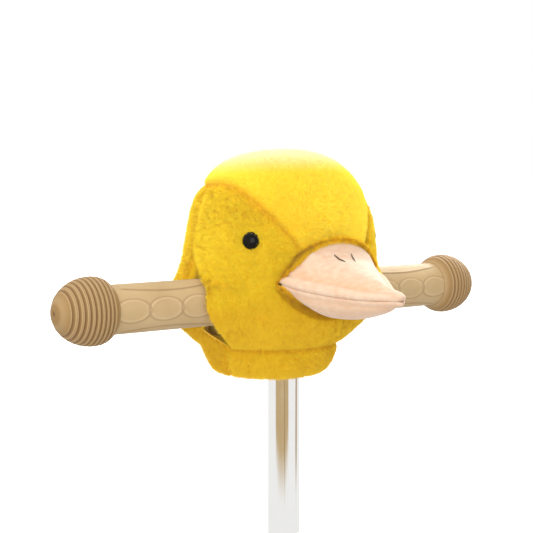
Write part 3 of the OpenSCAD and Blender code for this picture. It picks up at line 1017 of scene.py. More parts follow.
    def wall_depth(self, panel: Panel, p: Points) -> Points:
        """How thick the stuffed wall is: thin at the neck and round the beak's root.

        Args:
            panel: the panel.
            p: its outline points.

        Returns:
            Depths in millimetres.
        """
        thick = self.wall - (self.wall - self.skin) * (1 - smoothstep(
            panel.thin_below, panel.thin_below + 12, p[..., 2]))
        reach = np.hypot(p[..., 1] + 48, p[..., 2] - 14)
        near = (1 - smoothstep(26, 38, reach)) * (1 - smoothstep(40, 50, np.abs(p[..., 0])))
        return thick + (self.skin - thick) * near

    def lay(self, panel: Panel, s: Points, t: Points) -> Points:
        """The outline's points of a panel, on its own half."""
        return self.form.patch(panel.left, panel.right, panel.low, panel.high, s, t)

    def finish_points(self, mirrored: bool, p: Points) -> Points:
        """Mirror if the piece is on the left, lift to the bar and turn into metres.

        Args:
            mirrored: whether the piece is on the left half.
            p: points round the cross tube's axis.

        Returns:
            Points in metres.
        """
        out = p.copy()
        if mirrored:
            out[..., 0] *= -1
        out[..., 2] += self.form.bar_z
        return out * MM

    def build_panel(self, panel: Panel) -> None:
        """Make a panel's stuffed cloth and its pile.

        Args:
            panel: the panel.
        """
        columns, rows = panel.grid
        s, t = np.meshgrid(crowded(columns), crowded(rows), indexing="xy")
        line = self.lay(panel, s, t)
        size = (np.linalg.norm(np.diff(line, axis=1), axis=-1).sum(1).mean(),
                np.linalg.norm(np.diff(line, axis=0), axis=-1).sum(0).mean())
        edges = self.edges(s, t, size)
        outer = self.clear(self.form.below(line, self.depth(panel, line, edges)))
        inner = self.clear(self.form.below(line, self.wall_depth(panel, line)), 0.6)
        points, faces = shell(self.finish_points(panel.mirrored, outer),
                              self.finish_points(panel.mirrored, inner),
                              panel.turned != panel.mirrored)
        cloth = mesh_object(panel.name, points, faces, Shared.of(BACKING))
        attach(cloth, "head")
        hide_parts(*panel.nodes)
        log.info("%s: %d faces", panel.name, len(faces))
        self.grow(panel, size)

    def scatter(self, surface: Callable, count: int, rng: np.random.Generator
                ) -> tuple[Points, Points, Points, Points]:
        """Spread places evenly over a surface.

        Args:
            surface: gives the points at s and t.
            count: about how many are wanted.
            rng: the piece's own random numbers.

        Returns:
            s, t, the points and the surface's unit normals.
        """
        s, t = rng.random(count * 2), rng.random(count * 2)
        h = 0.004
        ds = surface(np.minimum(s + h, 1), t) - surface(np.maximum(s - h, 0), t)
        dt = surface(s, np.minimum(t + h, 1)) - surface(s, np.maximum(t - h, 0))
        cross = np.cross(ds, dt)
        area = np.linalg.norm(cross, axis=1)
        keep = rng.random(count * 2) < area / (2 * area.mean())
        s, t, cross, area = (a[keep] for a in (s, t, cross, area))
        p = surface(s, t)
        normal = cross / np.maximum(area, 1e-9)[:, None]
        outward = p - np.array([0, self.form.core[0], 0])
        outward[:, 2] = p[:, 2] - np.clip(p[:, 2], self.form.core[1], self.form.core[2])
        normal *= np.sign(np.einsum("ij,ij->i", normal, outward))[:, None]
        return s, t, p, normal

    def grow(self, panel: Panel, size: tuple[float, float]) -> None:
        """Set a panel's pile as tapered strands, combed and clumped.

        Args:
            panel: the panel.
            size: its width and height in millimetres.
        """
        rng = np.random.default_rng(panel.seed)
        s, t, p, normal = self.scatter(lambda a, b: self.lay(panel, a, b), panel.strands, rng)
        edges = self.edges(s, t, size)
        root = self.clear(self.form.below(p, self.depth(panel, p, edges) + 0.4))
        # Painted shade along each seam, fading over about 3 mm.
        shade_by_seam = np.array(panel.shade_by_seam)[:, None] * np.exp(-(edges / 3.0) ** 2)
        shade_by_seam[1] *= 1 - self.hidden_seam(p)
        seat = np.array(EYE_SEAT)
        bare = np.linalg.norm(p - self.form.surface(seat[None])[0], axis=1)
        bare = bare > EYE_CLEARANCE
        root, normal, shade_by_seam = root[bare], normal[bare], shade_by_seam[:, bare]
        comb = np.tile(np.array(LIES[panel.nap].comb), (len(root), 1))
        self.strands(panel.name.replace("plush", "pile"), panel.nap, rng, root, normal,
                     comb, shade_by_seam.max(axis=0), panel.mirrored, shaded=panel.shaded)

    def strands(self, name: str, nap: Nap, rng: np.random.Generator, root: Points,
                normal: Points, comb: Points, tone: Points, mirrored: bool,
                body: str | None = "head", shaded: bool = False) -> bpy.types.Object:
        """Turn roots and normals into blades and make the piece.

        Args:
            name: the piece's name.
            nap: how the pile lies.
            rng: the piece's own random numbers.
            root: where each strand starts.
            normal: the outward normal there.
            comb: which way the pile is brushed.
            tone: how much painted shade, in the seam colour, lies there.
            mirrored: whether the piece is on the left half.
            body: the body it rides on, or None where the caller places it.
            shaded: whether a band beside the grip gets painted shade.

        Returns:
            The pile.
        """
        n = len(root)
        lie = LIES[nap]
        flow = comb.copy()
        for size, share, seed in zip(SWAY_SIZES, lie.sway, SWAY_SEEDS):
            flow += share * np.stack([wobble(root, size, seed + k) for k in range(3)], 1)
        flow += rng.normal(size=(n, 3)) * lie.stray
        flow -= normal * np.einsum("ij,ij->i", flow, normal)[:, None]
        flow /= np.maximum(np.linalg.norm(flow, axis=1), 1e-6)[:, None]
        lean = np.radians(lie.lean + rng.normal(size=n) * lie.lean_spread)
        way = normal * np.cos(lean)[:, None] + flow * np.sin(lean)[:, None]
        clump = 0.5 + 0.5 * wobble(root, CLUMP_SIZE, CLUMP_SEED)
        length = lie.length * (0.84 + 0.22 * clump + 0.10 * rng.normal(size=n))
        length *= 1 - 0.22 * tone
        width = lie.width * (0.8 + 0.4 * rng.random(n))
        side = np.cross(normal, flow) + normal * rng.normal(size=n)[:, None] * 0.3
        side /= np.linalg.norm(side, axis=1)[:, None]
        tip = root + way * length[:, None]
        half, thin = side * width[:, None] / 2, side * width[:, None] * TIP_SHARE
        points = np.stack([root - half, root + half, tip + thin, tip - thin], axis=1)
        points = self.finish_points(mirrored, points.reshape(-1, 3))
        faces = np.arange(4 * n).reshape(n, 4)
        faces = faces[:, ::-1] if mirrored else faces
        fur = mesh_object(name, points, faces, Shared.of(LIES[nap].finish))
        mark = np.clip(0.55 * clump + 0.45 * rng.random(n), 0, 1)
        # Painted shade: a band of the back panels beside the grip gets more of the shade colour.
        if shaded:
            mark = mark + SHADE_DEPTH * np.exp(-((root[:, 1] - SHADE_AT) / SHADE_WIDTH) ** 2)
        # Painted highlight: pile on top of the head that faces up is paler.
        pale = smoothstep(0.66, 0.97, normal[:, 2]) * (0.75 + 0.25 * rng.random(n))
        pale *= root[:, 2] > PAINTED_HIGHLIGHT_ABOVE
        # Painted shade: pile that faces down takes on the seam colour.
        tone = np.maximum(tone, 0.45 * (1 - smoothstep(-0.5, 0.15, normal[:, 2])))
        paint(fur, "pile", np.stack([np.tile([0.0, 0.0, 1.0, 1.0], n), np.repeat(mark, 4),
                                     np.repeat(tone, 4), np.repeat(pale, 4)], axis=1))
        log.info("%s: %d strands", name, n)
        if body is not None:
            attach(fur, body)
        return fur

    def cuff(self, name: str, ring: list, inner: Callable, strands: int, jaw: bool) -> None:
        """Close the gap round a beak's root with a narrow strip of plush.

        Args:
            name: the strip's name.
            ring: the head's edge, from the right corner to the middle.
            inner: gives the beak's own points for x across the strip.
            strands: how many strands its pile has.
            jaw: whether it meets the lower beak; that strip is baked in place, not attached.
        """
        whole = ring + [[-x, y, z] for x, y, z in ring[-2::-1]]

        def surface(u: Points, v: Points) -> Points:
            """Points from the head's edge, v = 0, to the beak, v = 1.

            Args:
                u: places along the strip, 0 to 1.
                v: places across it, 0 to 1.

            Returns:
                Points on the strip.
            """
            far = self.form.below(self.form.surface(along(whole, u)), 1.2 if jaw else 0.4)
            near = inner(far[..., 0])
            v3 = v[..., None]
            p = far * (1 - v3) + near * v3
            return self.form.below(p, -(2.0 if jaw else 1.2) * np.sin(np.pi * v))

        u, v = np.meshgrid(np.linspace(0, 1, 120), np.linspace(0, 1, 9), indexing="xy")
        outer = surface(u, v)
        under = self.form.below(outer, 1.6)
        points, faces = shell(self.finish_points(False, outer),
                              self.finish_points(False, under), not jaw)
        cloth = mesh_object(name, points, faces, Shared.of(BACKING))
        rng = np.random.default_rng(61)
        a, b, p, normal = self.scatter(surface, strands, rng)
        comb = inner(p[:, 0]) - p
        comb /= np.maximum(np.linalg.norm(comb, axis=1), 1e-6)[:, None]
        # Painted shade: the seam colour deepens towards the beak's root, in the recess.
        tone = 0.35 + 0.55 * smoothstep(0.4, 1.0, b)
        fur = self.strands(name + "_pile", Nap.TUMBLED, rng, p, normal, comb * 1.2, tone,
                           False, None)
        for piece in (cloth, fur):
            if jaw:
                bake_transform(piece)
            else:
                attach(piece, "head")

    def cuffs(self, beak: "Beak") -> None:
        """Make the strips over and under the beak.

        Args:
            beak: the beaks that the strips meet.
        """
        def upper(x: Points) -> Points:
            """Where the upper strip meets the upper beak.

            Args:
                x: places across.

            Returns:
                The points.
            """
            x = np.clip(x * 0.97, -39.0, 39.0)
            s = 48.5 + 8.2 * np.maximum(0, 1 - (x / 39.5) ** 2) ** 0.6
            return np.stack([x, -s, beak.top(s, x) + 0.1], axis=-1)

        def lower(x: Points) -> Points:
            """Where the lower strip meets the lower beak.

            Args:
                x: places across.

            Returns:
                The points.
            """
            x = np.clip(x * 0.96, -38.8, 38.8)
            s = 50.2 + 6.5 * np.maximum(0, 1 - (x / 39.5) ** 2) ** 0.6
            return np.stack([x, -s, beak.bottom(s, x) + 0.5], axis=-1)

        self.cuff("brow_cuff", [[-40.2, -45, 13.1], [-38, -47.5, 20], [-33.3, -50.5, 28],
                                [-26, -52, 34.8], [-14, -57, 40.4], [0, -58.5, 42.3]],
                  upper, 17000, False)
        self.cuff("chin_cuff", [[-40.2, -45, 13.9], [-35, -47, 5], [-26, -49, -3],
                                [-14, -50, -8.8], [0, -50, -10.5]], lower, 17000, True)

    def tab(self) -> None:
        """Make the plush tab that closes the vent at the back of the neck."""
        half, low, tall = 17.0, -49.0, 22.0
        behind, lift, roll, roll_width, back_lift = 70.0, -5.4, 1.1, 1.2, -2.7

        def laid(u: Points, v: Points) -> Points:
            """Rough places over the tab, behind the neck."""
            return np.stack([-half + 2 * half * u, np.full(u.shape, behind), low + tall * v],
                            axis=-1)

        def surface(u: Points, v: Points) -> Points:
            """Points over the tab's outer face.

            Args:
                u: places across, 0 to 1.
                v: places up it, 0 to 1.

            Returns:
                Points on the tab.
            """
            rough = laid(u, v)
            edge = np.minimum(half - np.abs(rough[..., 0]),
                              tall / 2 - np.abs(rough[..., 2] - low - tall / 2))
            rise = lift + roll * np.exp(-edge / roll_width)
            return self.form.below(self.form.surface(rough), rise)

        u, v = np.meshgrid(crowded(44), crowded(30), indexing="xy")
        outer = surface(u, v)
        inner = self.form.below(self.form.surface(laid(u, v)), back_lift)
        points, faces = shell(self.finish_points(False, outer),
                              self.finish_points(False, inner), False)
        cloth = mesh_object("closure_tab_plush", points, faces, Shared.of(BACKING))
        rng = np.random.default_rng(71)
        _, _, p, normal = self.scatter(surface, 9000, rng)
        comb = np.tile(np.array(LIES[Nap.TUMBLED].comb), (len(p), 1))
        self.strands("closure_tab_pile", Nap.TUMBLED, rng, p, normal, comb,
                     np.zeros(len(p)), False, "closure_tab")
        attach(cloth, "closure_tab")
        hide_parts("closure_tab")

    def build(self) -> None:
        """Make every panel of the head."""
        for panel in self.panels():
            self.build_panel(panel)
        self.cuffs(Beak())
        self.tab()


# -------------------------------------------------------------------- the beak
@dataclass
class Beak:
    """The two velour beaks; s is the distance in front of the stem's axis."""

    bar_z: float = 235.0
    tip: float = 118.5
    wall: float = 2.0
    gap: float = 0.04
    width: list = field(default_factory=lambda: [
        (44, 39.5), (52, 39.5), (60, 37), (70, 31.5), (80, 25), (90, 18.5), (100, 12.5),
        (110, 7.2), (116, 4.4), (118.5, 3)])
    mouth: list = field(default_factory=lambda: [
        (44, 14.5), (48, 14), (60, 11.3), (70, 9.2), (85, 7), (100, 6), (118.5, 6.4)])
    upper: list = field(default_factory=lambda: [
        (46, 20), (50, 28), (54, 36.5), (57.5, 40.5), (60, 35.5), (63, 31), (70, 27.5),
        (80, 23.5), (90, 20), (100, 16.5), (110, 13.2), (116, 11.4), (118.5, 10)])
    lip: list = field(default_factory=lambda: [
        (44, 4.2), (52, 5.2), (60, 5.8), (70, 6.2), (80, 6), (95, 4.6), (110, 4), (118.5, 3)])
    under: list = field(default_factory=lambda: [
        (48, 7), (52, 2.5), (57, -3), (60, -5.4), (67, -9), (79, -8.3), (92, -5.4),
        (104, -1.6), (111, 1.8), (118.5, 3.6)])
    power: list = field(default_factory=lambda: [
        (46, 1.1), (52, 1.3), (57.5, 1.55), (66, 1.4), (80, 1.15), (118.5, 1.1)])

    def top(self, s: Points, x: Points, inset: float = 0.0) -> Points:
        """Height of the upper beak's surface.

        Args:
            s: distance in front of the stem's axis.
            x: place across.
            inset: how far inside the outer surface.

        Returns:
            Heights from the cross tube.
        """
        w = curve_table(self.width, s) - inset - 1
        lip = curve_table(self.mouth, s) + curve_table(self.lip, s) - inset / 2
        peak = curve_table(self.upper, s) - inset
        share = np.maximum(0, 1 - (x / w) ** 2) ** (curve_table(self.power, s) / 2)
        return lip + (peak - lip) * share

    def bottom(self, s: Points, x: Points) -> Points:
        """Height of the lower beak's underside.

        Args:
            s: distance in front of the stem's axis.
            x: place across.

        Returns:
            Heights from the cross tube.
        """
        w = curve_table(self.width, s) - 0.4
        roof = curve_table(self.mouth, s) - self.gap
        depth = roof - curve_table(self.under, s)
        return roof - depth * np.maximum(0, 1 - (x / w) ** 2) ** 0.45

    def upper_ring(self, s: float, inset: float, count: int) -> tuple[Points, Points]:
        """One section of the upper beak, from the right foot over to the left.

        Args:
            s: where the section is.
            inset: how far it lies inside the outer surface.
            count: how many points lie on the arch.

        Returns:
            The points and how much painted shade each one gets in the crease.
        """
        s_ = np.array([s])
        w = float(curve_table(self.width, s_)[0]) - inset
        floor = float(curve_table(self.mouth, s_)[0]) + self.gap
        band = float(curve_table(self.lip, s_)[0])
        fade = float(1 - smoothstep(self.tip - 22, self.tip - 2, s_)[0])
        a = np.linspace(0, np.pi, 13)
        lip_x = w - 1.6 + (1.4 + 1.1 * fade) * np.sin(a) ** 0.8
        lip_x -= 1.5 * fade * (a / np.pi) ** 3
        lip_z = floor + (band + 0.6 - self.gap) * (1 - np.cos(a)) / 2 - inset * 0.3
        b = np.linspace(0, 1, count)
        arch_x = (w - 1.9 - 1.5 * fade) * np.cos(np.pi * (0.02 + 0.98 * b) / 2)
        arch_z = self.top(np.full(count, s), arch_x, inset)
        near = np.exp(-((w - 3.4 - arch_x) / 6.0) ** 2) * fade \
            * float(smoothstep(49, 62, s_)[0])
        arch_z -= near * np.minimum(6.5, 0.9 * np.maximum(arch_z - lip_z[-1] + 0.4, 0))
        half_x = np.concatenate([[w - 3.4], lip_x, arch_x])
        half_z = np.concatenate([[floor], lip_z, arch_z])
        # Painted shade: the foot, the lip's lower turn and the dip above the lip.
        lip_painted_shade = np.concatenate([[0.3], 0.6 * (a / np.pi) ** 4 * fade, near])
        x = np.concatenate([-half_x, half_x[-2::-1]])
        z = np.concatenate([half_z, half_z[-2::-1]])
        ring = np.stack([x, np.full(len(x), -s), z], axis=1)
        dark = np.concatenate([lip_painted_shade, lip_painted_shade[-2::-1]])
        return ring, dark

    def lower_ring(self, s: float, inset: float, count: int) -> tuple[Points, Points]:
        """One section of the lower beak, from the right edge under to the left.

        Args:
            s: where the section is.
            inset: how far it lies inside the outer surface.
            count: how many points lie on the underside.

        Returns:
            The points and how much painted shade each one gets, in the groove and on the
            underside.
        """
        s_ = np.array([s])
        w = float(curve_table(self.width, s_)[0]) - 0.9 - inset
        roof = float(curve_table(self.mouth, s_)[0]) - self.gap
        depth = roof - float(curve_table(self.under, s_)[0]) - inset
        fade = float(1 - smoothstep(self.tip - 10, self.tip, s_)[0])
        a = np.pi - np.linspace(0, np.pi, count)
        x = w * np.cos(a)
        z = roof - depth * np.sin(a) ** 0.9
        lip = np.exp(-((roof - z - 1.6) / 1.5) ** 2) * fade
        groove = np.exp(-((roof - z - 4.2) / 1.6) ** 2) * fade
        x = x * (1 + (0.8 * lip - 0.8 * groove) / max(w, 4))
        x = np.concatenate([[-(w - 3.2)], x, [w - 3.2]])
        z = np.concatenate([[roof], z, [roof]])
        ring = np.stack([x, np.full(len(x), -s), z], axis=1)
        # Painted shade: the groove below the lip, and the underside darker towards the bottom.
        dark = np.concatenate([[0.3], groove * 0.3 + 0.55 * np.sin(a) ** 0.7, [0.3]])
        return ring, dark

    def closed(self, name: str, maker: Callable, first: float, turned: bool, body: str,
               nodes: tuple[str, ...]) -> bpy.types.Object:
        """Loft a beak's sections into a closed, thick cover.

        Args:
            name: the piece's name.
            maker: upper_ring or lower_ring.
            first: where the rearmost section is.
            turned: whether the faces are turned round.
            body: the body it rides on; the upper beak's cover is only baked in place.
            nodes: the CAD nodes that it stands for.

        Returns:
            The cover.
        """
        stations = np.concatenate([np.linspace(first, 70, 26)[:-1],
                                   np.linspace(70, self.tip - 4, 40)[:-1],
                                   self.tip - 4 + 4 * np.sin(np.linspace(0, np.pi / 2, 8))])
        inner_end = self.tip - 5
        outer, inner, dark = [], [], []
        for s in stations:
            ring, shade = maker(s, 0.0, 40)
            tip_share = np.sqrt(max(0.0, 1 - max(0.0, (s - self.tip + 3) / 3) ** 2))
            middle = ring.mean(axis=0)
            middle[2] = float(curve_table(self.mouth, np.array([s]))[0]) \
                + (3.0 if maker == self.upper_ring else -1.6)
            tip_share = max(tip_share, 0.03)
            ring = middle + (ring - middle) * np.array([tip_share, 1, tip_share])
            outer.append(ring)
            dark.append(shade)
            s_in = first + (s - first) * (inner_end - first) / (self.tip - first)
            inner.append(maker(s_in, self.wall, 40)[0])
        outer, inner = np.array(outer), np.array(inner)
        outer[..., 2] += self.bar_z
        inner[..., 2] += self.bar_z
        points, faces = shell(outer * MM, inner * MM, turned)
        cover = mesh_object(name, points, faces, Shared.of(BEAK_VELOUR))
        # Painted shade for each point; the inner faces get a little too.
        painted_shades = np.concatenate([np.array(dark).ravel(), np.full(outer[..., 0].size, 0.2)])
        paint(cover, "crease", np.repeat(painted_shades[:, None], 3, axis=1))
        if body == "upper_beak":
            self.sewn(cover)
        else:
            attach(cover, body)
        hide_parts(*nodes)
        log.info("%s: %d faces", name, len(faces))
        return cover

    def sewn(self, piece: bpy.types.Object) -> None:
        """Bake a piece's placement into its points."""
        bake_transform(piece)

    def stitches(self, right: bool) -> None:
        """A nostril: a short row of overlapping satin stitches.

        Args:
            right: whether it is the right nostril.
        """
        rng = np.random.default_rng(41)
        sign = -1 if right else 1
        ends = np.array([[7.3, 61.5], [4.0, 69.5]])
        verts, faces = [], []
        sides, rings = 8, 9
        for start, stop, off, thick in ((0.0, 0.62, -0.14, 0.34), (0.12, 0.86, 0.1, 0.38),
                                        (0.38, 1.0, -0.02, 0.3), (0.05, 0.5, 0.22, 0.24)):
            for k in range(rings):
                f = k / (rings - 1)
                share = start + (stop - start) * f
                x, s = ends[0] + (ends[1] - ends[0]) * share
                x += off + 0.05 * rng.normal()
                lift = 0.12 + 0.4 * math.sin(math.pi * f)
                z = float(self.top(np.array([s]), np.array([x]))[0]) + lift
                radius = 1.4 * thick * (0.18 + 0.82 * math.sin(math.pi * f) ** 0.5)
                for m in range(sides):
                    turn = 2 * math.pi * m / sides
                    verts.append([sign * (x + radius * math.cos(turn)), -s,
                                  self.bar_z + z + radius * math.sin(turn) * 0.8])
                if k:
                    base = len(verts) - 2 * sides
                    for m in range(sides):
                        q = [base + m, base + (m + 1) % sides, base + sides + (m + 1) % sides,
                             base + sides + m]
                        faces.append(q if sign > 0 else q[::-1])
            last = len(verts) - sides
            first = last - (rings - 1) * sides
            caps = [list(range(first, first + sides))[::-1], list(range(last, last + sides))]
            faces += caps if sign > 0 else [c[::-1] for c in caps]
        side = "right" if right else "left"
        row = mesh_object(f"{side}_nostril_stitches", np.array(verts) * MM, faces,
                          Shared.of(Thread()))
        self.sewn(row)
        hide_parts(f"{side}_nostril")

    def fold(self) -> None:
        """Make the felt fold that closes the back of the mouth, round its hinge."""
        turn, x = np.meshgrid(np.linspace(-0.5, 0.5, 13) * math.pi,
                              np.linspace(-33.0, 33.0, 25), indexing="ij")
        grids = []
        for radius in (2.0, 1.6):
            grids.append(np.stack([x, -48.0 + radius * np.cos(turn),
                                   self.bar_z + 14.0 + radius * np.sin(turn)], axis=-1) * MM)
        points, faces = shell(grids[0], grids[1], False)
        made = mesh_object("mouth_fold", points, faces, Shared.of(MOUTH_FELT))
        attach(made, "head")

    def build(self) -> None:
        """Make both beaks, the nostrils and the mouth's fold."""
        self.fold()
        self.closed("upper_beak_velour", self.upper_ring, 45.8, True, "upper_beak",
                    ("upper_beak_cover", "upper_beak_filling"))
        self.closed("lower_beak_velour", self.lower_ring, 47.6, False, "jaw",
                    ("lower_beak_cover", "lower_beak_filling"))
        for right in (True, False):
            self.stitches(right)


# ------------------------------------------------------------------- the T-bar
@dataclass
class Grip:
    """A rubber grip: a sleeve with oval pads and two long ridges, and a ribbed knob."""

    bar_z: float = 235.0
    sleeve_r: float = 15.65
    bore_r: float = 11.14
    knob_r: float = 21.5
    inner_x: float = 60.0
    knob_x: float = 138.0
    knob_mid: float = 150.0
    tip_x: float = 175.0
    bore_end: float = 152.4
    segments: int = 192
    first_groove: float = 144.5
    groove_step: float = 3.05
    grooves: int = 9
    groove_w: float = 1.5
    groove_depth: float = 1.25
    ovals: tuple[float, ...] = (128.7, 104.6, 80.5)
    oval_size: tuple[float, float] = (11.0, 6.6)

    def knob(self, x: float) -> float:
        """The knob's radius at a distance from the stem's axis.

        Args:
            x: distance from the stem's axis.

        Returns:
            The radius in millimetres.
        """
        if x < self.knob_mid:
            return self.knob_r * (1 - ((self.knob_mid - x) / 16) ** 2.4) ** (1 / 2.4)
        share = (x - self.knob_mid) / (self.tip_x - self.knob_mid)
        return self.knob_r * math.sqrt(max(0.0, 1 - share * share))

    def profile(self) -> list[tuple[float, float, float, float]]:
        """The outline as place, radius, painted groove shade and painted rim highlight.

        Returns:
            The rows, from the sleeve round to the bore.
        """
        line = [(self.inner_x, self.bore_r, 0.0, 0.0), (self.inner_x, self.sleeve_r - 1, 0.0, 0.0),
                (self.inner_x + 0.3, self.sleeve_r - 0.3, 0.0, 0.3),
                (self.inner_x + 1, self.sleeve_r, 0.0, 0.0)]
        x = self.inner_x + 1.5
        while x < self.knob_x - 0.4:
            line.append((x, self.sleeve_r, 0.0, 0.0))
            x += 0.55
        line.append((self.knob_x, self.sleeve_r + 0.1, 0.6, 0.0))
        for step in (0.3, 0.8, 1.6, 2.6, 3.8):
            x = self.knob_x + step
            line.append((x, self.knob(x), 0.25 / (1 + step), 0.0))
        for g in range(self.grooves):
            middle = self.first_groove + g * self.groove_step
            # Each groove: painted shade in its hollow, painted highlight on its shoulders.
            shape = ((-0.62, 0.0, 0.0, 0.9), (-0.48, 0.14, 0.25, 0.2), (-0.2, 0.85, 0.8, 0.0),
                     (0.0, 1.0, 1.0, 0.0), (0.2, 0.85, 0.8, 0.0), (0.48, 0.14, 0.25, 0.2),
                     (0.62, 0.0, 0.0, 0.9), (1.0, -0.06, 0.0, 0.1))
            for off, sink, shade, rim in shape:
                x = middle + off * self.groove_w
                if x < self.tip_x - 2.2:
                    line.append((x, self.knob(x) - sink * self.groove_depth, shade, rim))
        line += [(self.tip_x - 2.0, 8.4, 0.0, 0.5), (self.tip_x - 1.3, 7.0, 0.0, 0.4),
                 (self.tip_x - 0.6, 5.4, 0.0, 0.0), (self.tip_x - 0.1, 3.2, 0.0, 0.0),
                 (self.tip_x, 1.3, 0.3, 0.0), (self.tip_x - 0.3, 1.0, 1.0, 0.0),
                 (self.tip_x - 6, 1.0, 1.0, 0.0), (self.bore_end, 1.0, 1.0, 0.0),
                 (self.bore_end, self.bore_r, 0.4, 0.0)]
        return line

    def relief(self, x: Points, turn: Points) -> tuple[Points, Points, Points]:
        """The sleeve's raised pattern.

        Args:
            x: distance from the stem's axis.
            turn: angle round the sleeve, 0 in front and rising upwards.

        Returns:
            The height, the painted shadow beside it and the painted highlight on its rim.
        """
        height, shade, rim = np.zeros_like(x), np.zeros_like(x), np.zeros_like(x)
        arc = turn * self.sleeve_r
        for middle in self.ovals:
            r = np.hypot((x - middle) / self.oval_size[0], arc / self.oval_size[1])
            off = (r - 1) * 8.5
            height += 0.42 * np.exp(-(off / 0.85) ** 2) + 0.16 * (1 - smoothstep(-1.0, 0.4, off))
            # Painted highlight on each pad's rim, painted shadow just outside it.
            rim = np.maximum(rim, 0.8 * np.exp(-(off / 0.7) ** 2))
            shade = np.maximum(shade, 0.5 * np.exp(-((off - 1.5) / 0.6) ** 2))
        share = (x - self.inner_x) / (self.knob_x - self.inner_x)
        inside = smoothstep(0.02, 0.1, share) * (1 - smoothstep(0.9, 0.985, share))
        for sign in (1, -1):
            line_arc = sign * (17.5 - 4.2 * np.sin(np.pi * share))
            off = arc - line_arc
            height += 0.4 * np.exp(-(off / 0.7) ** 2) * inside
            # Painted shadow beside each ridge.
            shade = np.maximum(shade, 0.75 * np.exp(-((off + sign * 0.9) / 0.5) ** 2) * inside)
        on_sleeve = (x > self.inner_x + 1.2) & (x < self.knob_x - 0.5)
        return height * on_sleeve, shade * on_sleeve, rim * on_sleeve

    def build(self, right: bool) -> None:
        """Extrude the outline ring by ring, raise the pads and copy the painted shade and
        highlight.

        Args:
            right: whether it is the right grip.
        """
        side = "right" if right else "left"
        line = self.profile()
        start = line[0]
        bpy.ops.mesh.primitive_circle_add(
            vertices=self.segments, radius=start[1] * MM, fill_type="NOTHING",
            location=(start[0] * MM, 0, 0), rotation=(0, math.pi / 2, 0))
        piece = bpy.context.active_object
        bpy.ops.object.transform_apply(location=True, rotation=True, scale=True)
        bpy.ops.object.mode_set(mode="EDIT")
        bpy.ops.mesh.select_all(action="SELECT")
        for (x0, r0, _, _), (x1, r1, _, _) in zip(line, line[1:]):
            bpy.ops.mesh.extrude_edges_move(
                TRANSFORM_OT_translate={"value": ((x1 - x0) * MM, 0, 0)})
            if abs(r1 - r0) > 1e-6:
                bpy.ops.transform.resize(value=(1, r1 / r0, r1 / r0),
                                         center_override=(x1 * MM, 0, 0))
        bpy.ops.object.mode_set(mode="OBJECT")
        mesh = piece.data
        co = np.empty(len(mesh.vertices) * 3, dtype=np.float32)
        mesh.vertices.foreach_get("co", co)
        p = co.reshape(-1, 3).astype(float) / MM
        radius = np.hypot(p[:, 1], p[:, 2])
        turn = np.arctan2(p[:, 2], -p[:, 1])
        height, shade, rim = self.relief(p[:, 0], turn)
        outer = radius > self.sleeve_r - 0.5
        grow = np.where(outer, (radius + height) / np.maximum(radius, 1e-6), 1.0)
        p[:, 1] *= grow
        p[:, 2] *= grow
        table = np.array(line)
        ring_no = np.arange(len(p)) // self.segments
        wear = table[np.minimum(ring_no, len(table) - 1), 2:4]
        if len(p) != len(table) * self.segments:
            raise RuntimeError("the grip's rings don't match its outline")
        p[:, 2] += self.bar_z
        if right:
            p[:, 0] *= -1
        mesh.vertices.foreach_set("co", (p * MM).astype(np.float32).ravel())
        edit = bmesh.new()
        edit.from_mesh(mesh)
        ends = [e for e in edit.edges if e.is_boundary]
        bmesh.ops.bridge_loops(edit, edges=ends)
        bmesh.ops.recalc_face_normals(edit, faces=edit.faces)
        edit.to_mesh(mesh)
        edit.free()
        # Painted shade and painted highlight from the outline and the pads, and the knob's darker
        # share.
        channels = np.stack([np.maximum(wear[:, 0], shade * outer),
                             np.maximum(wear[:, 1], rim * outer), smoothstep(
                                 self.knob_x - 1, self.knob_x + 4, np.abs(p[:, 0]))], axis=1)
        paint(piece, "wear", channels)
        mesh.polygons.foreach_set("use_smooth", np.full(len(mesh.polygons), True))
        mesh.materials.clear()
        mesh.materials.append(Shared.of(GripRubber()))
        piece.name = f"{side}_grip_rubber"
        mesh.name = piece.name
        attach(piece, "t_bar")
        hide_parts(f"{side}_grip")
        log.info("%s: %d faces", piece.name, len(mesh.polygons))


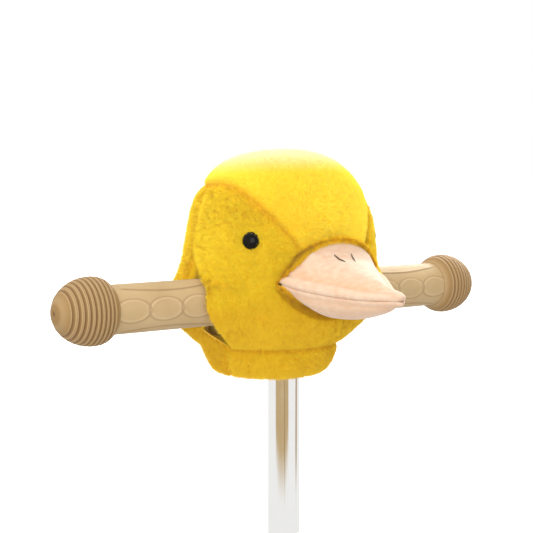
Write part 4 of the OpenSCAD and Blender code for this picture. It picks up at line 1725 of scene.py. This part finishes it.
# ---------------------------------------------------------------------- eyes
@dataclass
class Eyes:
    """Glossy safety eyes on shanks that go through the plush."""

    form: HeadForm = field(default_factory=HeadForm)
    radius: float = 5.7
    dome: float = 3.2
    sunk: float = 1.0
    turn: float = 38.5
    tilt: float = 5.5
    rough_seat: tuple[float, float, float] = EYE_SEAT

    def build(self, right: bool) -> None:
        """Model a domed button with a rolled rim and put it on its seat.

        Args:
            right: whether it is the right eye.
        """
        side = "right" if right else "left"
        seat = self.form.surface(np.array([self.rough_seat], dtype=float))[0]
        bpy.ops.mesh.primitive_uv_sphere_add(segments=64, ring_count=40, radius=self.radius * MM)
        piece = bpy.context.active_object
        bpy.ops.object.mode_set(mode="EDIT")
        bpy.ops.mesh.select_all(action="SELECT")
        bpy.ops.transform.resize(value=(1, 1, self.dome / self.radius), center_override=(0, 0, 0))
        bpy.ops.mesh.bisect(plane_co=(0, 0, -0.35 * MM), plane_no=(0, 0, 1), clear_inner=True,
                            use_fill=True)
        bpy.ops.mesh.select_all(action="DESELECT")
        bpy.ops.object.mode_set(mode="OBJECT")
        lowest = min(v.co.z for v in piece.data.vertices)
        for polygon in piece.data.polygons:
            polygon.select = abs(polygon.center.z - lowest) < 1e-6
        bpy.ops.object.mode_set(mode="EDIT")
        bpy.ops.mesh.select_mode(type="FACE")
        bpy.ops.mesh.inset(thickness=3.25 * MM)
        bpy.ops.mesh.extrude_region_move(TRANSFORM_OT_translate={"value": (0, 0, -6.2 * MM)})
        bpy.ops.mesh.select_all(action="SELECT")
        bpy.ops.mesh.normals_make_consistent(inside=False)
        bpy.ops.object.mode_set(mode="OBJECT")
        bpy.ops.object.shade_smooth_by_angle(angle=math.radians(40))
        frame = (Matrix.Translation(Vector(seat))
                 @ Matrix.Rotation(math.radians(-90 - (90 - self.turn)), 4, "Z")
                 @ Matrix.Rotation(math.radians(90 - self.tilt), 4, "Y"))
        lift = Matrix.Translation(Vector((0, 0, self.form.bar_z * MM)))
        scale = Matrix.Scale(MM, 4)
        unscale = Matrix.Scale(1 / MM, 4)
        place = lift @ scale @ frame @ unscale @ Matrix.Translation(
            Vector((0, 0, (0.35 - self.sunk - (0.0 if right else 0.9)) * MM)))
        piece.data.transform(place)
        if not right:
            piece.data.transform(Matrix.Scale(-1, 4, Vector((1, 0, 0))))
            piece.data.flip_normals()
        piece.data.materials.clear()
        piece.data.materials.append(Shared.of(EyeGloss()))
        piece.name = f"{side}_eye_gloss"
        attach(piece, "head")
        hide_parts(f"{side}_eye")


# --------------------------------------------------------------------- studio
@dataclass
class Studio:
    """Plain floor, soft light and the camera."""

    target: tuple[float, float, float] = (-9.54, 7.19, 255.14)
    azimuth: float = -37.0
    elevation: float = 4.76
    distance: float = 855.0
    lens: float = 84.56
    card_fade: float = 22.0

    def soft(self, name: str, at: tuple[float, float, float], size: float, power: float,
             colour: Colour = (1, 1, 1)) -> None:
        """Add a square softbox that faces the head.

        Args:
            name: the light's name.
            at: where it stands, in metres.
            size: its side in metres.
            power: its power in watts.
            colour: the light's tint.
        """
        data = bpy.data.lights.new(name, "AREA")
        data.shape = "SQUARE"
        data.size = size
        data.energy = power
        data.color = colour
        made = bpy.data.objects.new(name, data)
        made.location = at
        way = Vector(self.target) * MM - Vector(at)
        made.rotation_euler = way.to_track_quat("-Z", "Y").to_euler()
        bpy.context.scene.collection.objects.link(made)

    def back(self) -> Vector:
        """The direction from the object to the camera."""
        az, el = math.radians(self.azimuth), math.radians(self.elevation)
        return Vector((math.sin(az) * math.cos(el), -math.cos(az) * math.cos(el), math.sin(el)))

    def sky(self) -> None:
        """A white backdrop whose light on the object is softer than it looks."""
        world = bpy.data.worlds.new("pale studio")
        world.use_nodes = True
        tree = world.node_tree
        light = tree.nodes["Background"]
        light.inputs["Color"].default_value = (1.0, 1.0, 1.0, 1.0)
        place = tree.nodes.new("ShaderNodeTexCoord")
        split = tree.nodes.new("ShaderNodeSeparateXYZ")
        level = tree.nodes.new("ShaderNodeMapRange")
        level.interpolation_type = "SMOOTHSTEP"
        for key, value in (("From Min", -0.9), ("From Max", 0.15), ("To Min", 0.84),
                           ("To Max", 0.98)):
            level.inputs[key].default_value = value
        path = tree.nodes.new("ShaderNodeLightPath")
        seen = tree.nodes.new("ShaderNodeMath")
        seen.operation = "MAXIMUM"
        tree.links.new(place.outputs["Generated"], split.inputs[0])
        tree.links.new(split.outputs["Z"], level.inputs["Value"])
        tree.links.new(level.outputs[0], seen.inputs[0])
        tree.links.new(path.outputs["Is Camera Ray"], seen.inputs[1])
        tree.links.new(seen.outputs[0], light.inputs["Strength"])
        bpy.context.scene.world = world

    def card(self, name: str, turn_by: float, away: float, size: tuple[float, float],
             colour: Colour) -> None:
        """Stand a low reflector on the floor, seen only in polished surfaces.

        Args:
            name: the card's name.
            turn_by: degrees from the camera's direction.
            away: distance from the stem.
            size: width and height.
            colour: its upper colour; it pales towards the floor.
        """
        toward = self.back()
        toward.z = 0
        toward.rotate(Matrix.Rotation(math.radians(turn_by), 3, "Z"))
        centre = toward.normalized() * away + Vector((0, 0, size[1] / 2 + 0.001))
        bpy.ops.mesh.primitive_plane_add(size=1.0)
        made = bpy.context.active_object
        made.name = name
        turn = (-toward).to_track_quat("Z", "Y").to_matrix().to_4x4()
        made.data.transform(Matrix.Translation(centre) @ turn
                            @ Matrix.Diagonal((size[0], size[1], 1, 1)))
        sh = Shader(name)
        height = Sock(sh, sh.node("ShaderNodeSeparateXYZ", {}, {0: sh.place()})
                      .socket.node.outputs[2])
        tone = sh.mix((height * self.card_fade).clamped(), (0.92, 0.92, 0.90), colour)
        made.data.materials.append(sh.surface(
            Base_Color=(0.0, 0.0, 0.0), Emission_Color=tone, Emission_Strength=1.0,
            Roughness=0.9))
        made.visible_camera = False
        made.visible_diffuse = False
        made.visible_shadow = False

    def build(self) -> None:
        """Make the floor, the lights, the world and the camera."""
        bpy.ops.mesh.primitive_plane_add(size=40.0)
        floor = bpy.context.active_object
        floor.name = "floor"
        floor.data.materials.append(Painted().material())
        floor.visible_diffuse = False
        floor.visible_glossy = False
        self.sky()
        self.soft("key softbox", (-0.4, 0.1, 1.5), 0.8, 6.5, (1.0, 0.99, 0.97))
        self.soft("rim softbox", (1.1, 0.45, 0.75), 0.7, 20.0)
        self.soft("fill softbox", (-1.1, -1.1, 0.5), 0.9, 12.0)
        self.card("tan reflector", -13.0, 0.36, (0.76, 0.16), (0.54, 0.385, 0.19))
        self.card("dark reflector", 6.0, 0.34, (0.05, 0.16), (0.40, 0.28, 0.13))
        self.card("side reflector", 97.0, 0.36, (0.10, 0.16), (0.46, 0.35, 0.22))
        view = bpy.context.scene.view_settings
        view.view_transform = "Standard"
        view.look = "None"
        view.exposure = 0.0
        data = bpy.data.cameras.new("camera")
        data.lens = self.lens
        data.sensor_width = 36.0
        data.clip_start = 0.01
        data.clip_end = 100.0
        camera = bpy.data.objects.new("camera", data)
        back = self.back()
        camera.location = (Vector(self.target) + back * self.distance) * MM
        camera.rotation_euler = (-back).to_track_quat("-Z", "Y").to_euler()
        bpy.context.scene.collection.objects.link(camera)
        bpy.context.scene.camera = camera


# ----------------------------------------------------------- carried CAD nodes
def dress(nodes: dict[str, bpy.types.Object]) -> None:
    """Give the CAD nodes that stay in view their own finishes.

    Args:
        nodes: the CAD nodes by name.
    """
    upright = Steel("polished steel stem", (900.0, 900.0, 6.0)).material()
    level = Steel("polished steel cross tube", (6.0, 900.0, 900.0)).material()
    weld = Steel("brushed weld", (300.0, 300.0, 300.0), 0.3).material()
    # Painted shade: the lining is given a dark olive so the inside of the slits looks shaded.
    cotton = Woven("lining cotton", (0.36, 0.24, 0.02), (0.50, 0.34, 0.035), 0.0007).material()
    fibre = Woven("polyester filling", (0.86, 0.86, 0.86), (0.97, 0.97, 0.97), 0.002).material()
    felt = Shared.of(MOUTH_FELT)
    board = Woven("mouth board", (0.45, 0.30, 0.16), (0.60, 0.43, 0.25), 0.003).material()
    webbing = Woven("elastic webbing", (0.03, 0.03, 0.035), (0.12, 0.12, 0.13), 0.0009).material()
    loops = Woven("hook and loop", (0.55, 0.40, 0.08), (0.80, 0.64, 0.22), 0.0005).material()
    label = Woven("label satin", (0.82, 0.82, 0.80), (0.97, 0.97, 0.95), 0.0003, 0.5).material()
    washer = Woven("washer plastic", (0.55, 0.55, 0.55), (0.66, 0.66, 0.66), 0.004, 0.5,
                   0.0).material()
    table = {
        "stem_tube": upright, "cross_tube": level, "weld_bead": weld,
        "upper_palate": felt, "lower_palate": felt, "upper_mouth_board": board,
        "lower_mouth_board": board, "finger_strap": webbing, "thumb_strap": webbing,
        "hook_strip": loops, "loop_strip": loops, "care_label": label,
        "right_eye_washer": washer, "left_eye_washer": washer,
    }
    for name, node in nodes.items():
        finish = table.get(name)
        if finish is None and "lining" in name:
            finish = cotton
        if finish is None and "filling" in name:
            finish = fibre
        if finish is None:
            finish = Shared.of(BACKING)
        for slot in node.material_slots:
            slot.material = finish
        if not node.material_slots:
            node.data.materials.append(finish)


def main() -> None:
    """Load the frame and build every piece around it."""
    logging.basicConfig(level=logging.INFO)
    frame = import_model()
    bpy.ops.object.select_all(action="DESELECT")
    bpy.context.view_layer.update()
    Studio().build()
    dress(frame["nodes"])
    PlushHead().build()
    Beak().build()
    for right in (True, False):
        Grip().build(right)
        Eyes().build(right)


if __name__ == "__main__":
    main()
